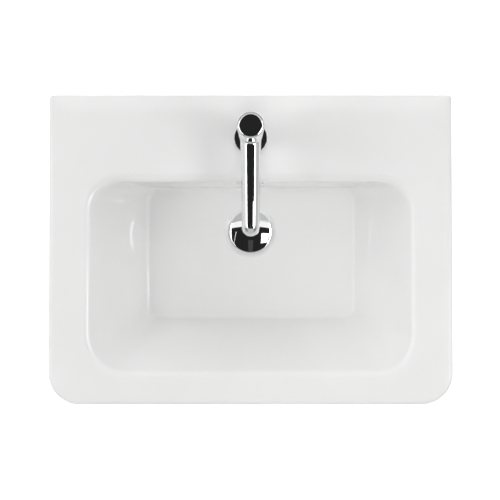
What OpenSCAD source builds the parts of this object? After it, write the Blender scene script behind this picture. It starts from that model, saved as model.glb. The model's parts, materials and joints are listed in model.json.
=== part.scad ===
// Wall-hung washbasin with a one-hole mixer tap and a click waste, in millimetres.
// The origin is on the wall, midway between the two bolt holes. +X is right, +Y into the wall, +Z up.

/* [Basin] */
// Width of the basin
basin_w = 600; // [580:1:660]
// Depth from the wall to the front edge
basin_d = 460; // [440:1:500]
// Height of the rim above the wall bolts
bolt_drop = 70; // [62:1:80]
// Radius of the two front corners, seen from above
front_corner_r = 47; // [30:1:60]
// Radius of the two corners at the wall
rear_corner_r = 6; // [3:1:12]
// Rounding of the top edge on the front and sides
edge_r = 7; // [4:0.5:11]
// Rounding of the top edge at the wall
rear_edge_r = 3; // [1:0.5:4]
// Thickness of the deck
deck_t = 14; // [12:0.5:18]
// Height of the turned-down lip
lip_h = 40; // [30:1:50]
// Thickness of the lip
lip_t = 12; // [9:0.5:14]
// Thickness of the bowl's wall
shell_t = 12; // [9:0.5:14]
// Thickness of the ceramic under the recess, down to the waste boss's underside
boss_t = 37; // [33:1:47]
// Outer diameter of the waste boss
boss_d = 92; // [84:1:110]

/* [Bowl] */
// Width of the bowl's opening
bowl_w = 496; // [470:1:510]
// From the wall to the bowl's opening
bowl_from_wall = 116; // [112:1:120]
// Flat rim in front of the bowl
front_rim = 41; // [36:1:50]
// Depth of the bowl at the foot of its walls
bowl_depth = 105; // [98:1:108]
// Fall of the floor from the walls to the waste
floor_fall = 4; // [2:0.5:5]
// Width of the flat floor
floor_w = 313; // [290:1:330]
// From the wall to the floor's rear edge
floor_from_wall = 141; // [139:1:146]
// From the front edge to the floor's front edge
floor_from_front = 132; // [120:1:145]
// Rounding of the bowl's rim
rim_r = 13; // [12.5:0.5:15]
// Rounding at the foot of the bowl's walls
foot_r = 11; // [8:0.5:12]
// Corner radius of the opening at the rear
rear_bowl_r = 50; // [40:1:60]
// Corner radius of the opening at the front
front_bowl_r = 58; // [45:1:70]
// Corner radius of the floor
floor_corner_r = 16; // [10:1:24]

/* [Overflow] */
// Width of the overflow slot
overflow_w = 42; // [30:1:48]
// Height of the overflow slot
overflow_h = 10; // [7:0.5:12]
// Depth of the slot's middle below the rim
overflow_drop = 30; // [26:0.5:36]
// Clear depth of the overflow channel
channel_gap = 11; // [8:0.5:12]
// Thickness of the channel's outer walls
channel_t = 10; // [8:0.5:11]

/* [Wall plate] */
// Distance between the two wall bolts
bolt_spacing = 280; // [240:1:300]
// Diameter of the wall bolt holes
bolt_hole_d = 14; // [11:0.5:16]
// Width of the wall plate
plate_w = 460; // [420:1:500]
// Depth from the rim to the wall plate's lower edge
plate_drop = 130; // [115:1:145]
// Thickness of the wall plate
plate_t = 14; // [12:0.5:16]
// Thickness of the ribs behind the bowl
rib_t = 12; // [9:0.5:14]
// Distance between the inner ribs' middles
rib_spacing = 170; // [150:1:200]
// Height of the ribs below the deck
rib_h = 70; // [50:1:80]

/* [Tap] */
// From the wall to the tap's axis
tap_from_wall = 65; // [62:0.5:68]
// Diameter of the tap hole
tap_hole_d = 35; // [33:0.5:36]
// Diameter of the column
column_d = 36.3; // [36:0.1:38]
// Height of the column above the deck
column_h = 107; // [104:0.5:115]
// Diameter of the rosette
flange_d = 48.7; // [46:0.1:54]
// Height of the rosette
flange_h = 4; // [3:0.5:6]
// Thickness of the rubber ring under the tap
gasket_t = 2; // [1.5:0.1:3]
// From the tap's axis to the middle of the outlet
spout_reach = 136; // [120:1:150]
// How far the spout's end passes the outlet's middle
spout_past = 13; // [12:0.5:16]
// Height of the spout's axis where it leaves the column's middle
spout_root_h = 78; // [76:0.5:80]
// Downward slope of the spout in degrees
spout_slope = 3; // [1:0.5:8]
// Diameter of the spout at the column
spout_root_d = 30.2; // [28:0.1:32]
// Diameter of the spout near its end
spout_tip_d = 25; // [24:0.1:26]
// Diameter of the waterway in the spout
waterway_d = 15; // [12:0.5:16]
// Diameter of the tapped hole for each hose
inlet_d = 9.2; // [8.6:0.1:9.6]
// Distance between the two hose inlets
inlet_spacing = 16; // [15:0.5:18]
// Depth of the hose inlets
inlet_depth = 14; // [10:1:18]
// Distance of the stud behind the tap's axis
stud_offset = 12; // [11.5:0.5:12.5]
// Diameter of the stud
stud_d = 8; // [6:1:8]
// Length of the stud below the deck
stud_l = 60; // [48:1:80]

/* [Cartridge] */
// Diameter of the cartridge
cartridge_d = 25; // [24.6:0.1:25.6]
// Height of the lever's pin below the column's top
pivot_drop = 3; // [2.5:0.1:3.5]
// Diameter of the sleeve that turns
carrier_d = 16; // [15.6:0.1:16.4]
// Length of the lever's lower arm
arm_l = 14; // [13.6:0.1:14.2]
// Diameter of the lever's stem
stem_d = 8; // [7:0.5:8.5]
// Diameter of the pin that the lever tilts on
pin_d = 3; // [2.5:0.1:3.2]
// How far the handle lifts, in degrees
lift_angle = 18; // [12:1:18]

/* [Handle] */
// Diameter of the handle
handle_d = 37.3; // [36.5:0.1:40]
// Height of the handle's top above the deck
handle_top = 146; // [142:0.5:155]
// Rounding of the handle's top edge
handle_edge_r = 4; // [2:0.5:6]
// Thickness of the handle's skirt
skirt_t = 2; // [1.5:0.1:2.5]
// Gap between the column and the handle in front
seam = 0.5; // [0.4:0.1:1]
// Diameter of the grub screw
grub_d = 5; // [4:0.5:6]

/* [Waste] */
// From the wall to the waste's axis
waste_from_wall = 199; // [195:1:205]
// Diameter of the waste hole
waste_hole_d = 46; // [45:0.5:48]
// Diameter of the recess round the waste
recess_d = 75.6; // [72:0.1:80]
// Depth of the recess at its middle
recess_depth = 4; // [3.5:0.1:5]
// Diameter of the waste's cap
cap_d = 67; // [64:0.5:70]
// Height of the cap's dome
cap_rise = 7.5; // [6:0.5:12]
// Diameter of the waste's flange
waste_flange_d = 62; // [58:0.5:63]
// Outer diameter of the waste's tail
tail_d = 41.9; // [41.5:0.1:42]
// Bore of the waste's tail
tail_bore = 37; // [35:0.5:38]
// Length of the tail below the recess
tail_l = 82; // [76:1:95]
// Travel of the click mechanism
click_travel = 8; // [5:0.5:9]

/* [Hidden] */
$fn = 64;

chrome = "silver";
rubber = "dimgray";

// Clearance of a turning or sliding fit, clearance between moving pieces, and how far a cut runs past a face
fit_gap = 0.05;
free_gap = 0.3;
past = 1;
// How far shapes that are one piece run into each other
merge = 2;

// Steps of the rounded corners, of the straight edges between them and, in degrees, of the roundings
corner_steps = 8;
edge_steps = 5;
arc_step = 12;
round_step = 15;
// Parts of the bowl's depth at which its walls have a ring
wall_parts = [1 / 3, 0.6];

rim_z = bolt_drop;
floor_drop = bowl_depth + floor_fall;
recess_drop = floor_drop + recess_depth;
boss_drop = recess_drop + boss_t;

// The four sides of the bowl: how far each wall leans in from the opening to the floor
side_run = (bowl_w - floor_w) / 2;
rear_run = floor_from_wall - bowl_from_wall;
front_run = floor_from_front - front_rim;

// Slope of a wall that leaves the rim's rounding and meets the floor's rounding, in degrees
function wall_slope(run) = let(rise = bowl_depth - foot_r - rim_r)
  atan2(rise, run) + asin((rim_r + foot_r) / norm([run, rise]));

// How far in from the opening a wall has come at depth d. The surface lies t outside the bowl's own.
function wall_in(d, run, t) = let(
    s = wall_slope(run),
    line_top = rim_r - (rim_r - t) * cos(s),
    foot_centre = bowl_depth - foot_r,
    line_end = foot_centre + (foot_r + t) * cos(s))
  d < line_top ? sqrt(max(0, pow(rim_r - t, 2) - pow(rim_r - d, 2)))
  : d < line_end ? (rim_r - t) * sin(s) + (d - line_top) * cos(s) / sin(s)
  : run - sqrt(max(0, pow(foot_r + t, 2) - pow(d - foot_centre, 2)));

// How far in a rounded edge of radius r has come at depth d below its flat top
function edge_in(d, r) = d >= r ? 0 : r - sqrt(r * r - pow(r - d, 2));

// Quarter turn of points about a corner's centre
function quarter(cx, cy, r, a0) =
  [for (i = [0:corner_steps]) let(a = a0 + 90 * i / corner_steps) [cx + r * cos(a), cy + r * sin(a)]];

// Outline of a rounded rectangle, with its rear edge at yr and its front edge at yf
function outline(half, yr, yf, rr, rf) = let(p = concat(
    quarter(half - rr, yr - rr, rr, 0), quarter(rr - half, yr - rr, rr, 90),
    quarter(rf - half, yf + rf, rf, 180), quarter(half - rf, yf + rf, rf, 270)))
  [for (i = [0:len(p) - 1]) let(a = p[i], b = p[(i + 1) % len(p)])
    each (i % (corner_steps + 1) == corner_steps
      ? [for (k = [0:edge_steps - 1]) a + (b - a) * k / edge_steps] : [a])];

// The same outline lifted to a depth below the rim
function ring(half, yr, yf, rr, rf, d) = [for (p = outline(half, yr, yf, rr, rf)) [p[0], p[1], rim_z - d]];

// Outline of the bowl at depth d, t outside its surface
function bowl_ring(d, t) = let(
    side = wall_in(d, side_run, t),
    rest = 1 - side / side_run)
  ring(bowl_w / 2 - side,
    -bowl_from_wall - wall_in(d, rear_run, t),
    -basin_d + front_rim + wall_in(d, front_run, t),
    floor_corner_r + (rear_bowl_r - floor_corner_r) * rest,
    floor_corner_r + (front_bowl_r - floor_corner_r) * rest, d);

function mid(points) = [for (k = [0:2]) (min([for (p = points) p[k]]) + max([for (p = points) p[k]])) / 2];

// Closed solid through a stack of rings, lowest first, whose lower end runs to the point low
module skin(rings, low) {
  n = len(rings[0]);
  last = (len(rings) - 1) * n;
  low_tip = last + n;
  polyhedron(points = concat([for (r = rings) each r], [low, mid(rings[len(rings) - 1])]), faces = concat(
    [for (i = [0:n - 1]) [i, (i + 1) % n, low_tip]],
    [for (j = [0:len(rings) - 2], i = [0:n - 1])
      let(a = j * n + i, b = j * n + (i + 1) % n) each [[a, a + n, b + n], [a, b + n, b]]],
    [for (i = [0:n - 1]) [last + (i + 1) % n, last + i, low_tip + 1]]));
}

// Ring or disc from height z0 to z1
module tube(d, bore, z0, z1) {
  translate([0, 0, z0]) difference() {
    cylinder(d = d, h = z1 - z0);
    if (bore > 0) translate([0, 0, -past]) cylinder(d = bore, h = z1 - z0 + 2 * past);
  }
}

// Drill from height z0 to z1
module drill(d, z0, z1) { translate([0, 0, z0]) cylinder(d = d, h = z1 - z0); }

// Block between two opposite corners
module block(a, b) { translate(a) cube(b - a); }

module at_tap() { translate([0, -tap_from_wall, rim_z]) children(); }
module at_waste() { translate([0, -waste_from_wall, rim_z - recess_drop]) children(); }

// Basin

// Depths at which the bowl's rings lie: the rim's rounding, the wall and the foot's rounding
bowl_depths = concat([for (a = [0:arc_step:90 - arc_step / 2]) rim_r * (1 - cos(a))],
  [for (part = wall_parts) bowl_depth * part],
  [for (a = [90 - arc_step / 2:-arc_step:0]) bowl_depth - foot_r * (1 - cos(a))], [bowl_depth]);

module bowl_cavity() {
  skin(concat([for (i = [len(bowl_depths) - 1:-1:0]) bowl_ring(bowl_depths[i], 0)],
    [[for (p = bowl_ring(0, 0)) p + [0, 0, 2 * past]]]), [0, -waste_from_wall, rim_z - floor_drop]);
}

// The bowl's outside, which starts inside the deck and ends flat under the floor
module bowl_hull() {
  hull_top = deck_t - merge;
  foot = foot_r + shell_t;
  depths = concat([hull_top], [for (part = wall_parts) bowl_depth * part],
    [for (a = [90 - round_step:-round_step:0]) bowl_depth + shell_t - foot * (1 - cos(a))]);
  rings = [for (i = [len(depths) - 1:-1:0]) bowl_ring(depths[i], shell_t)];
  skin(rings, mid(rings[0]));
}

// Least radius that a corner keeps inside a rounding
least_r = 1;

// The rim and deck, with their rounded top edge
module deck_slab() {
  depths = concat([lip_h], [for (a = [0:round_step:90]) edge_r * (1 - sin(a))]);
  rings = [for (d = depths) let(e = edge_in(d, edge_r), w = edge_in(d, rear_edge_r))
    ring(basin_w / 2 - e, -w, -basin_d + e, max(least_r, rear_corner_r - e), front_corner_r - e, d)];
  skin(rings, mid(rings[0]));
}

// The space under the deck, inside the lip and the wall plate
module under_deck() {
  translate([0, 0, rim_z - lip_h - past]) linear_extrude(lip_h + past - deck_t)
    polygon(outline(basin_w / 2 - lip_t, -plate_t, -basin_d + lip_t,
      max(least_r, rear_corner_r - lip_t), front_corner_r - lip_t));
}

// Outer faces of the overflow channel: its width, its rear face and its lower face
channel_w = overflow_w + 2 * channel_t;
bowl_back = bowl_from_wall + rim_r - shell_t;
channel_rear = bowl_back - channel_gap - channel_t;
channel_top = floor_drop + shell_t - merge;
channel_low = channel_top + channel_gap;

module overflow_block() {
  block([-channel_w / 2, -bowl_from_wall - rim_r, rim_z - channel_low - channel_t],
    [channel_w / 2, -channel_rear, rim_z - deck_t + past]);
  block([-channel_w / 2, -waste_from_wall, rim_z - channel_low - channel_t],
    [channel_w / 2, -bowl_from_wall, rim_z - bowl_depth - past]);
}

module overflow_space() {
  slot_r = overflow_h / 2;
  slot_mid = overflow_w / 2 - slot_r;
  half = overflow_w / 2;
  block([-half, -bowl_back, rim_z - channel_low],
    [half, -bowl_back + channel_gap, rim_z - overflow_drop + slot_r]);
  block([-half, -waste_from_wall, rim_z - channel_low],
    [half, -bowl_back + past, rim_z - channel_top]);
  translate([0, -bowl_back + past, rim_z - overflow_drop]) rotate([90, 0, 0])
    linear_extrude(shell_t + foot_r + 2 * past) polygon(concat(
      [for (a = [-90:round_step:90]) [slot_mid + slot_r * cos(a), slot_r * sin(a)]],
      [for (a = [90:round_step:270]) [-slot_mid + slot_r * cos(a), slot_r * sin(a)]]));
}

module wall_plate() {
  block([-plate_w / 2, -plate_t, rim_z - plate_drop], [plate_w / 2, 0, rim_z - deck_t + past]);
  rib_back = -bowl_back - shell_t / 2;
  rib_top = rim_z - deck_t + past;
  for (side = [-1, 1]) {
    translate([side * rib_spacing / 2, 0, 0])
      block([-rib_t / 2, rib_back, rim_z - deck_t - rib_h], [rib_t / 2, past - plate_t, rib_top]);
    translate([side * (plate_w - rib_t) / 2, 0, 0])
      block([-rib_t / 2, rib_back, rim_z - deck_t - rib_h / 2], [rib_t / 2, past - plate_t, rib_top]);
  }
}

module basin() {
  color("white") difference() {
    union() {
      difference() {
        deck_slab();
        under_deck();
      }
      bowl_hull();
      wall_plate();
      overflow_block();
      translate([0, -waste_from_wall, rim_z - boss_drop])
        cylinder(d = boss_d, h = boss_drop - bowl_depth - past);
    }
    bowl_cavity();
    overflow_space();
    at_tap() drill(tap_hole_d, -deck_t - past, past);
    at_waste() {
      drill(waste_hole_d, -boss_drop, past);
      drill(recess_d, 0, recess_depth + floor_fall);
    }
    for (side = [-1, 1]) translate([side * bolt_spacing / 2, past, 0]) rotate([90, 0, 0])
      cylinder(d = bolt_hole_d, h = plate_t + 2 * past);
  }
}

// Tap: heights are above the deck

// The spout's taper starts inside the column and ends where its rounded end begins
spout_start = 4;
spout_len = (spout_reach + spout_past) / cos(spout_slope);
spout_end = 15;
tip_step = 10;
// The outlet stands out under the spout, with the aerator screwed into it
aerator_d = spout_tip_d - 4.9;
aerator_l = 9;
outlet_wall = 1.45;
outlet_d = aerator_d + 2 * outlet_wall;
outlet_top = spout_root_h - spout_reach * tan(spout_slope);
outlet_drop = 3;
outlet_h = outlet_top - spout_tip_d / 2 - outlet_drop;
outlet_bore = waterway_d - 1;
// The bridge is the short way from the cartridge's outlet to the spout's waterway
bridge_d = 8;
bridge_drop = 7;
bridge_back = 4;
waterway_start = column_d / 2 + 3;
waterway_stop = 4;
stud_depth = 16;
// Clearance round each hose's end and round the stud, as radii
hose_gap = 1;
stud_gap = 0.5;

// Cartridge: its heights are above its seat in the column
seat_drop = 31;
seat_h = column_h - seat_drop;
housing_h = 24;
nut_d = cartridge_d + 3;
pivot_z = seat_drop - pivot_drop;
base_t = 4;
disc_t = 3.5;
disc_gap = 0.2;
cavity_d = cartridge_d - 2.4;
carrier_z = 15.8;
carrier_plate_t = 1.2;
collar_d = carrier_d + 2.6;
collar_h = seat_drop + 0.5;
carrier_h = collar_h + 1;

// Ports under the cartridge: the outlet in front, the two inlets behind and inside the hose inlets
port_d = 5.2;
port_r = 5.6;
port_in = 2;
port_back = 3;
port_seal_t = 1.2;
port_seal_w = 1;
disc_port_d = port_d - 1;

module along_spout() { translate([0, 0, spout_root_h]) rotate([90 + spout_slope, 0, 0]) children(); }

// The spout's outside: a taper that ends in half an ellipse, turned about the spout's axis
module spout_solid() {
  along_spout() rotate_extrude() polygon(concat(
    [[0, spout_start], [spout_root_d / 2, spout_start]],
    [for (a = [0:tip_step:90]) [spout_tip_d / 2 * cos(a), spout_len - spout_end + spout_end * sin(a)]]));
}

module tap_body() {
  bridge_h = seat_h - bridge_drop;
  color(chrome) at_tap() difference() {
    union() {
      drill(column_d, gasket_t, column_h);
      spout_solid();
      translate([0, -spout_reach, 0]) drill(outlet_d, outlet_h, outlet_top);
    }
    drill(cartridge_d + 2 * fit_gap, seat_h, column_h + past);
    drill(nut_d + 2 * fit_gap, seat_h + housing_h, column_h + past);
    along_spout() drill(waterway_d, waterway_start, spout_reach - waterway_stop);
    translate([0, -bridge_back, bridge_h]) rotate([90, 0, 0])
      cylinder(d = bridge_d, h = waterway_start + past);
    translate([0, -port_r, 0]) drill(port_d, bridge_h, seat_h + past);
    for (side = [-1, 1]) translate([side * inlet_spacing / 2, 0, 0]) {
      drill(inlet_d, gasket_t - past, gasket_t + inlet_depth);
      translate([-side * port_in, port_back, 0])
        drill(port_d, gasket_t + inlet_depth - past, seat_h + past);
    }
    translate([0, stud_offset, 0]) drill(stud_d + 2 * fit_gap, gasket_t - past, gasket_t + stud_depth);
    translate([0, -spout_reach, 0]) {
      drill(aerator_d + 2 * fit_gap, outlet_h - past, outlet_h + aerator_l);
      drill(outlet_bore, outlet_h, outlet_top);
    }
  }
}

flange_wall = 1.5;
gasket_d = flange_d - 2 * flange_wall;

// The rosette stands over the rubber ring, just clear of the deck
module base_flange() {
  bevel = 1.5;
  lip = 0.4;
  color(chrome) at_tap() difference() {
    union() {
      drill(flange_d, lip, flange_h + gasket_t - bevel);
      translate([0, 0, flange_h + gasket_t - bevel])
        cylinder(d1 = flange_d, d2 = flange_d - 2 * bevel, h = bevel);
    }
    drill(column_d + 2 * fit_gap, -past, flange_h + gasket_t + past);
    drill(gasket_d + 2 * free_gap, -past, gasket_t);
  }
}

module base_gasket() {
  color(rubber) at_tap() difference() {
    tube(gasket_d, 0, 0, gasket_t);
    for (side = [-1, 1]) translate([side * inlet_spacing / 2, 0, 0])
      drill(inlet_d + 2 * hose_gap, -past, gasket_t + past);
    translate([0, stud_offset, 0]) drill(stud_d + 2 * stud_gap, -past, gasket_t + past);
  }
}

module fixing_stud() {
  color("gray") at_tap() translate([0, stud_offset, 0]) drill(stud_d, -stud_l, gasket_t + stud_depth - past);
}

// The clamp under the deck: how far it laps the tap hole, and the web between its slot and the stud
shoe_lap = 7.5;
shoe_web = 2.5;
shoe_d = tap_hole_d + 2 * shoe_lap;
shoe_gasket_t = 3;
shoe_t = 2.5;
fixing_nut_h = 8;
fixing_nut_d = stud_d * 1.8;

// Plate with a slot to its front edge, which the hoses pass through
module horseshoe(d, z0, z1) {
  slot_back = stud_offset - stud_d / 2 - stud_gap - shoe_web;
  at_tap() difference() {
    drill(d, z0, z1);
    translate([0, stud_offset, 0]) drill(stud_d + 2 * stud_gap, z0 - past, z1 + past);
    block([-inlet_spacing, -d, z0 - past], [inlet_spacing, slot_back, z1 + past]);
  }
}

module horseshoe_gasket() { color(rubber) horseshoe(shoe_d, -deck_t - shoe_gasket_t, -deck_t); }
module horseshoe_washer() {
  color("gray") horseshoe(shoe_d - 1, -deck_t - shoe_gasket_t - shoe_t, -deck_t - shoe_gasket_t);
}
module fixing_nut() {
  top = -deck_t - shoe_gasket_t - shoe_t;
  color("gray") at_tap() translate([0, stud_offset, top - fixing_nut_h]) difference() {
    cylinder(d = fixing_nut_d, h = fixing_nut_h, $fn = 6);
    drill(stud_d + 2 * fit_gap, -past, fixing_nut_h + past);
  }
}

module at_cartridge() { at_tap() translate([0, 0, seat_h]) children(); }

module at_ports() {
  translate([0, -port_r, 0]) children();
  for (side = [-1, 1]) translate([side * (inlet_spacing / 2 - port_in), port_back, 0]) children();
}

module cartridge_housing() {
  color("ivory") at_cartridge() difference() {
    union() {
      drill(cartridge_d, 0, housing_h);
      drill(collar_d, housing_h - past, collar_h);
    }
    drill(cavity_d, base_t, carrier_z + carrier_plate_t + free_gap);
    drill(carrier_d + 2 * fit_gap, base_t, collar_h + past);
    at_ports() {
      drill(port_d, -past, base_t + past);
      drill(port_d + 2 * port_seal_w, -past, port_seal_t);
    }
  }
}

module port_seals() {
  color(rubber) at_cartridge() at_ports() tube(port_d + 2 * (port_seal_w - fit_gap), port_d, 0, port_seal_t);
}

module fixed_disc() {
  color("white") at_cartridge() difference() {
    drill(cavity_d - 2 * fit_gap, base_t, base_t + disc_t);
    at_ports() drill(disc_port_d, base_t - past, base_t + disc_t + past);
  }
}

// Where the arm's end stands behind the axis at rest
arm_back = arm_l * sin(lift_angle / 2);
disc_d = 17;
disc_pocket_d = 9;
disc_pocket_t = 1.5;
driver_d = 14;
driver_h = 4.3;
ball_d = 4.4;
disc_z = base_t + disc_t + disc_gap;

module moving_disc() {
  color("white") at_cartridge() translate([0, arm_back, 0]) difference() {
    drill(disc_d, disc_z, disc_z + disc_t);
    drill(disc_pocket_d, disc_z - past, disc_z + disc_pocket_t);
  }
}

module disc_driver() {
  z = disc_z + disc_t;
  pocket = ball_d / 2 + free_gap;
  color("darkslategray") at_cartridge() translate([0, arm_back, 0]) difference() {
    drill(driver_d, z, z + driver_h);
    block([-pocket, -pocket, z + free_gap], [pocket, pocket, z + driver_h + past]);
  }
}

lever_t = 6;
slot_w = lever_t + 2 * free_gap;
slot_wall = 1.8;
slot_half = carrier_d / 2 - slot_wall;
pin_gap = 0.01;
pin_short = 0.6;

module cartridge_carrier() {
  color("lightgray") at_cartridge() difference() {
    union() {
      drill(carrier_d, carrier_z, carrier_h);
      drill(cavity_d - 2 * free_gap, carrier_z, carrier_z + carrier_plate_t);
    }
    block([-slot_w / 2, -slot_half, carrier_z - past], [slot_w / 2, slot_half, carrier_h + past]);
    translate([-carrier_d, 0, pivot_z]) rotate([0, 90, 0])
      cylinder(d = pin_d + 2 * pin_gap, h = 2 * carrier_d);
  }
}

module lever_pin() {
  pin_l = carrier_d - 2 * pin_short;
  color("silver") at_cartridge() translate([-pin_l / 2, 0, pivot_z]) rotate([0, 90, 0])
    cylinder(d = pin_d, h = pin_l);
}

// The stem is wider than the sleeve's slot, so it starts where its edge clears the sleeve at full lift
stem_top = 54;
flat_half = 3.8;
flat_low = 4;
arm_d = 3.4;
flat_top = (carrier_h - pivot_z + stem_d / 2 * sin(lift_angle)) / cos(lift_angle) + 2 * free_gap;

// Flat lever on the pin, a round stem above it and a slanted arm with a ball below it
module cartridge_lever() {
  color("dimgray") at_cartridge() translate([0, 0, pivot_z]) difference() {
    union() {
      block([-lever_t / 2, -flat_half, -flat_low], [lever_t / 2, flat_half, flat_top]);
      drill(stem_d, flat_top - free_gap, stem_top - pivot_z);
      rotate([lift_angle / 2, 0, 0]) {
        translate([0, 0, -arm_l]) cylinder(d = arm_d, h = arm_l);
        translate([0, 0, -arm_l]) sphere(d = ball_d);
      }
    }
    translate([-lever_t, 0, 0]) rotate([0, 90, 0]) cylinder(d = pin_d + 2 * fit_gap, h = 2 * lever_t);
  }
}

// Threaded ring over the cartridge, with four notches for its spanner
module cartridge_nut() {
  nut_top = housing_h + 6.5;
  notch_w = 3;
  notch_in = 2;
  notch_h = 2.5;
  color("gold") at_cartridge() difference() {
    tube(nut_d, collar_d + 2 * fit_gap, housing_h, nut_top);
    for (a = [0:90:270]) rotate(a)
      block([nut_d / 2 - notch_in, -notch_w / 2, nut_top - notch_h], [nut_d, notch_w / 2, nut_top + past]);
  }
}

module cover_ring() {
  cover_d = nut_d + 3;
  ring_t = 1.2;
  bevel = 0.8;
  color(chrome) at_tap() difference() {
    union() {
      drill(cover_d, column_h, column_h + ring_t);
      translate([0, 0, column_h + ring_t]) cylinder(d1 = cover_d, d2 = cover_d - 2 * bevel, h = bevel);
    }
    drill(collar_d + 1, column_h - past, column_h + ring_t + bevel + past);
  }
}

// Handle: its skirt is cut at half the lift, so that it clears the column at both ends of the travel
roof_h = column_h + 9;
skirt_spare = 1.2;
socket_h = seat_h + stem_top + free_gap;
grub_h = column_h + 16;
grub_l = 8;
key_d = 2.8;
key_l = 3;
plug_d = grub_d + 1.4;
plug_seat = 4;
plug_l = 3.6;

module handle() {
  flat_r = handle_d / 2 - handle_edge_r;
  color(chrome) at_tap() difference() {
    rotate_extrude() polygon(concat([[0, column_h + seam], [handle_d / 2, column_h + seam]],
      [for (a = [0:round_step:90])
        [flat_r + handle_edge_r * cos(a), handle_top - handle_edge_r * (1 - sin(a))]],
      [[0, handle_top]]));
    translate([0, -handle_d / 2, column_h + seam]) rotate([lift_angle / 2 + skirt_spare, 0, 0])
      block([-handle_d, -handle_d, -handle_d], [handle_d, 2 * handle_d, 0]);
    drill(handle_d - 2 * skirt_t, column_h - past, roof_h);
    drill(stem_d + 2 * fit_gap, roof_h - past, socket_h);
    translate([0, 0, grub_h]) rotate([-90, 0, 0]) {
      cylinder(d = grub_d, h = handle_d);
      translate([0, 0, handle_d / 2 - plug_seat]) cylinder(d = plug_d, h = handle_d);
    }
  }
}

module grub_screw() {
  color("gray") at_tap() translate([0, 0, grub_h]) rotate([-90, 0, 0]) difference() {
    translate([0, 0, stem_d / 2]) cylinder(d = grub_d - 2 * fit_gap, h = grub_l);
    translate([0, 0, stem_d / 2 + grub_l - key_l]) cylinder(d = key_d, h = grub_l, $fn = 6);
  }
}

module index_plug() {
  color("crimson") at_tap() translate([0, 0, grub_h]) rotate([-90, 0, 0])
    translate([0, 0, handle_d / 2 - plug_seat]) cylinder(d = plug_d - 2 * pin_gap, h = plug_l);
}

module at_outlet() { at_tap() translate([0, -spout_reach, outlet_h]) children(); }

// The aerator's shell has a brim below the outlet and a ledge that its insert rests on
brim_t = 1.2;
ledge_t = 1;
shell_wall = 1.7;
ledge_w = 0.8;
washer_t = 1.5;
insert_room = aerator_d - 2 * shell_wall;

module aerator_housing() {
  color(chrome) at_outlet() difference() {
    union() {
      drill(aerator_d, 0, aerator_l - washer_t);
      drill(outlet_d - 1, -brim_t, 0);
    }
    drill(insert_room, ledge_t, aerator_l);
    drill(insert_room - 2 * ledge_w, -brim_t - past, ledge_t + past);
  }
}

// Disc with rings of fine holes
module aerator_insert() {
  jet_d = 1.4;
  jet_ring_r = [0, 3, 5.6];
  jets = [1, 6, 11];
  color("whitesmoke") at_outlet() difference() {
    drill(insert_room - 2 * fit_gap, ledge_t, aerator_l - washer_t);
    for (k = [0:len(jets) - 1], i = [0:jets[k] - 1])
      rotate(360 * i / jets[k]) translate([jet_ring_r[k], 0, 0]) drill(jet_d, 0, aerator_l);
  }
}

module aerator_washer() {
  washer_w = 2.15;
  color(rubber) at_outlet()
    tube(aerator_d - 4 * fit_gap, aerator_d - 4 * fit_gap - 2 * washer_w, aerator_l - washer_t, aerator_l);
}

// Waste: heights are above the recess in the bowl's floor

seal_t = 1.5;
flange_top = recess_depth;
boss_seal_t = 6;
slip_t = 2;
lock_t = 9;
nut_low = -boss_t - boss_seal_t - slip_t - lock_t;
// Groove between the lock nut's thread and the thread for the trap
groove_w = 2;
groove_t = 0.5;
// The windows in the tail take the overflow's water in from the channel
window_w = 12;
window_spare = 2.5;
window_z0 = recess_drop - channel_low - window_spare;
window_z1 = recess_drop - channel_top;
// The spider holds the click mechanism in the tail: its three arms are thinner and lower than its ring
spider_h = 6;
arm_t = 3;
arm_step = 1;
spider_wall = 3;
spider_z1 = window_z0 - 6.5;
spider_z0 = spider_z1 - spider_h;
// Click mechanism: a rod with a collar in a closed sleeve, with the spring under the collar
click_d = 14;
chamber_d = 10.6;
rod_d = 6;
plunger_collar_t = 2;
click_wall = 3;
spring_room = 15;
collar_z = spider_z0 - 2;
click_low = collar_z - plunger_collar_t - spring_room - click_wall;
chamber_top = collar_z + click_travel + 3;
click_top = chamber_top + 5;
boss_seal_d = waste_hole_d + 20;
cap_seal_d = waste_flange_d - 10;
cap_hub_d = tail_bore + 1;

module waste_body() {
  spider_d = click_d + 2 * spider_wall;
  mouth = 3;
  color(chrome) at_waste() difference() {
    union() {
      rotate_extrude() polygon([[tail_bore / 2, -tail_l], [tail_d / 2, -tail_l],
        [tail_d / 2, nut_low - groove_w], [tail_d / 2 - groove_t, nut_low - groove_w],
        [tail_d / 2 - groove_t, nut_low], [tail_d / 2, nut_low], [tail_d / 2, seal_t],
        [waste_flange_d / 2, seal_t], [waste_flange_d / 2, flange_top], [tail_bore / 2 + mouth, flange_top],
        [tail_bore / 2, flange_top - mouth]]);
      difference() {
        union() {
          drill(spider_d, spider_z0, spider_z1);
          for (a = [90, 210, 330]) rotate(a)
            block([0, -arm_t / 2, spider_z0 + arm_step],
              [tail_bore / 2 + past, arm_t / 2, spider_z1 - arm_step]);
        }
        drill(click_d + 2 * fit_gap, spider_z0 - past, spider_z1 + past);
      }
    }
    for (a = [0, 90]) rotate(a) block([-tail_d, -window_w / 2, window_z0], [tail_d, window_w / 2, window_z1]);
  }
}

module waste_seal() { color(rubber) at_waste() tube(waste_flange_d - 1, waste_hole_d + 2, 0, seal_t); }

module boss_seal() {
  color(rubber) at_waste() translate([0, 0, -boss_t - boss_seal_t]) difference() {
    union() {
      cylinder(d = boss_seal_d, h = boss_seal_t / 2);
      translate([0, 0, boss_seal_t / 2])
        cylinder(d1 = boss_seal_d, d2 = boss_seal_d - boss_seal_t, h = boss_seal_t / 2);
    }
    drill(tail_d + 2 * fit_gap, -past, boss_seal_t + past);
  }
}

module slip_washer() {
  top = -boss_t - boss_seal_t;
  color("whitesmoke") at_waste() tube(boss_seal_d + 1, tail_d + 2 * free_gap, top - slip_t, top);
}

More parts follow.
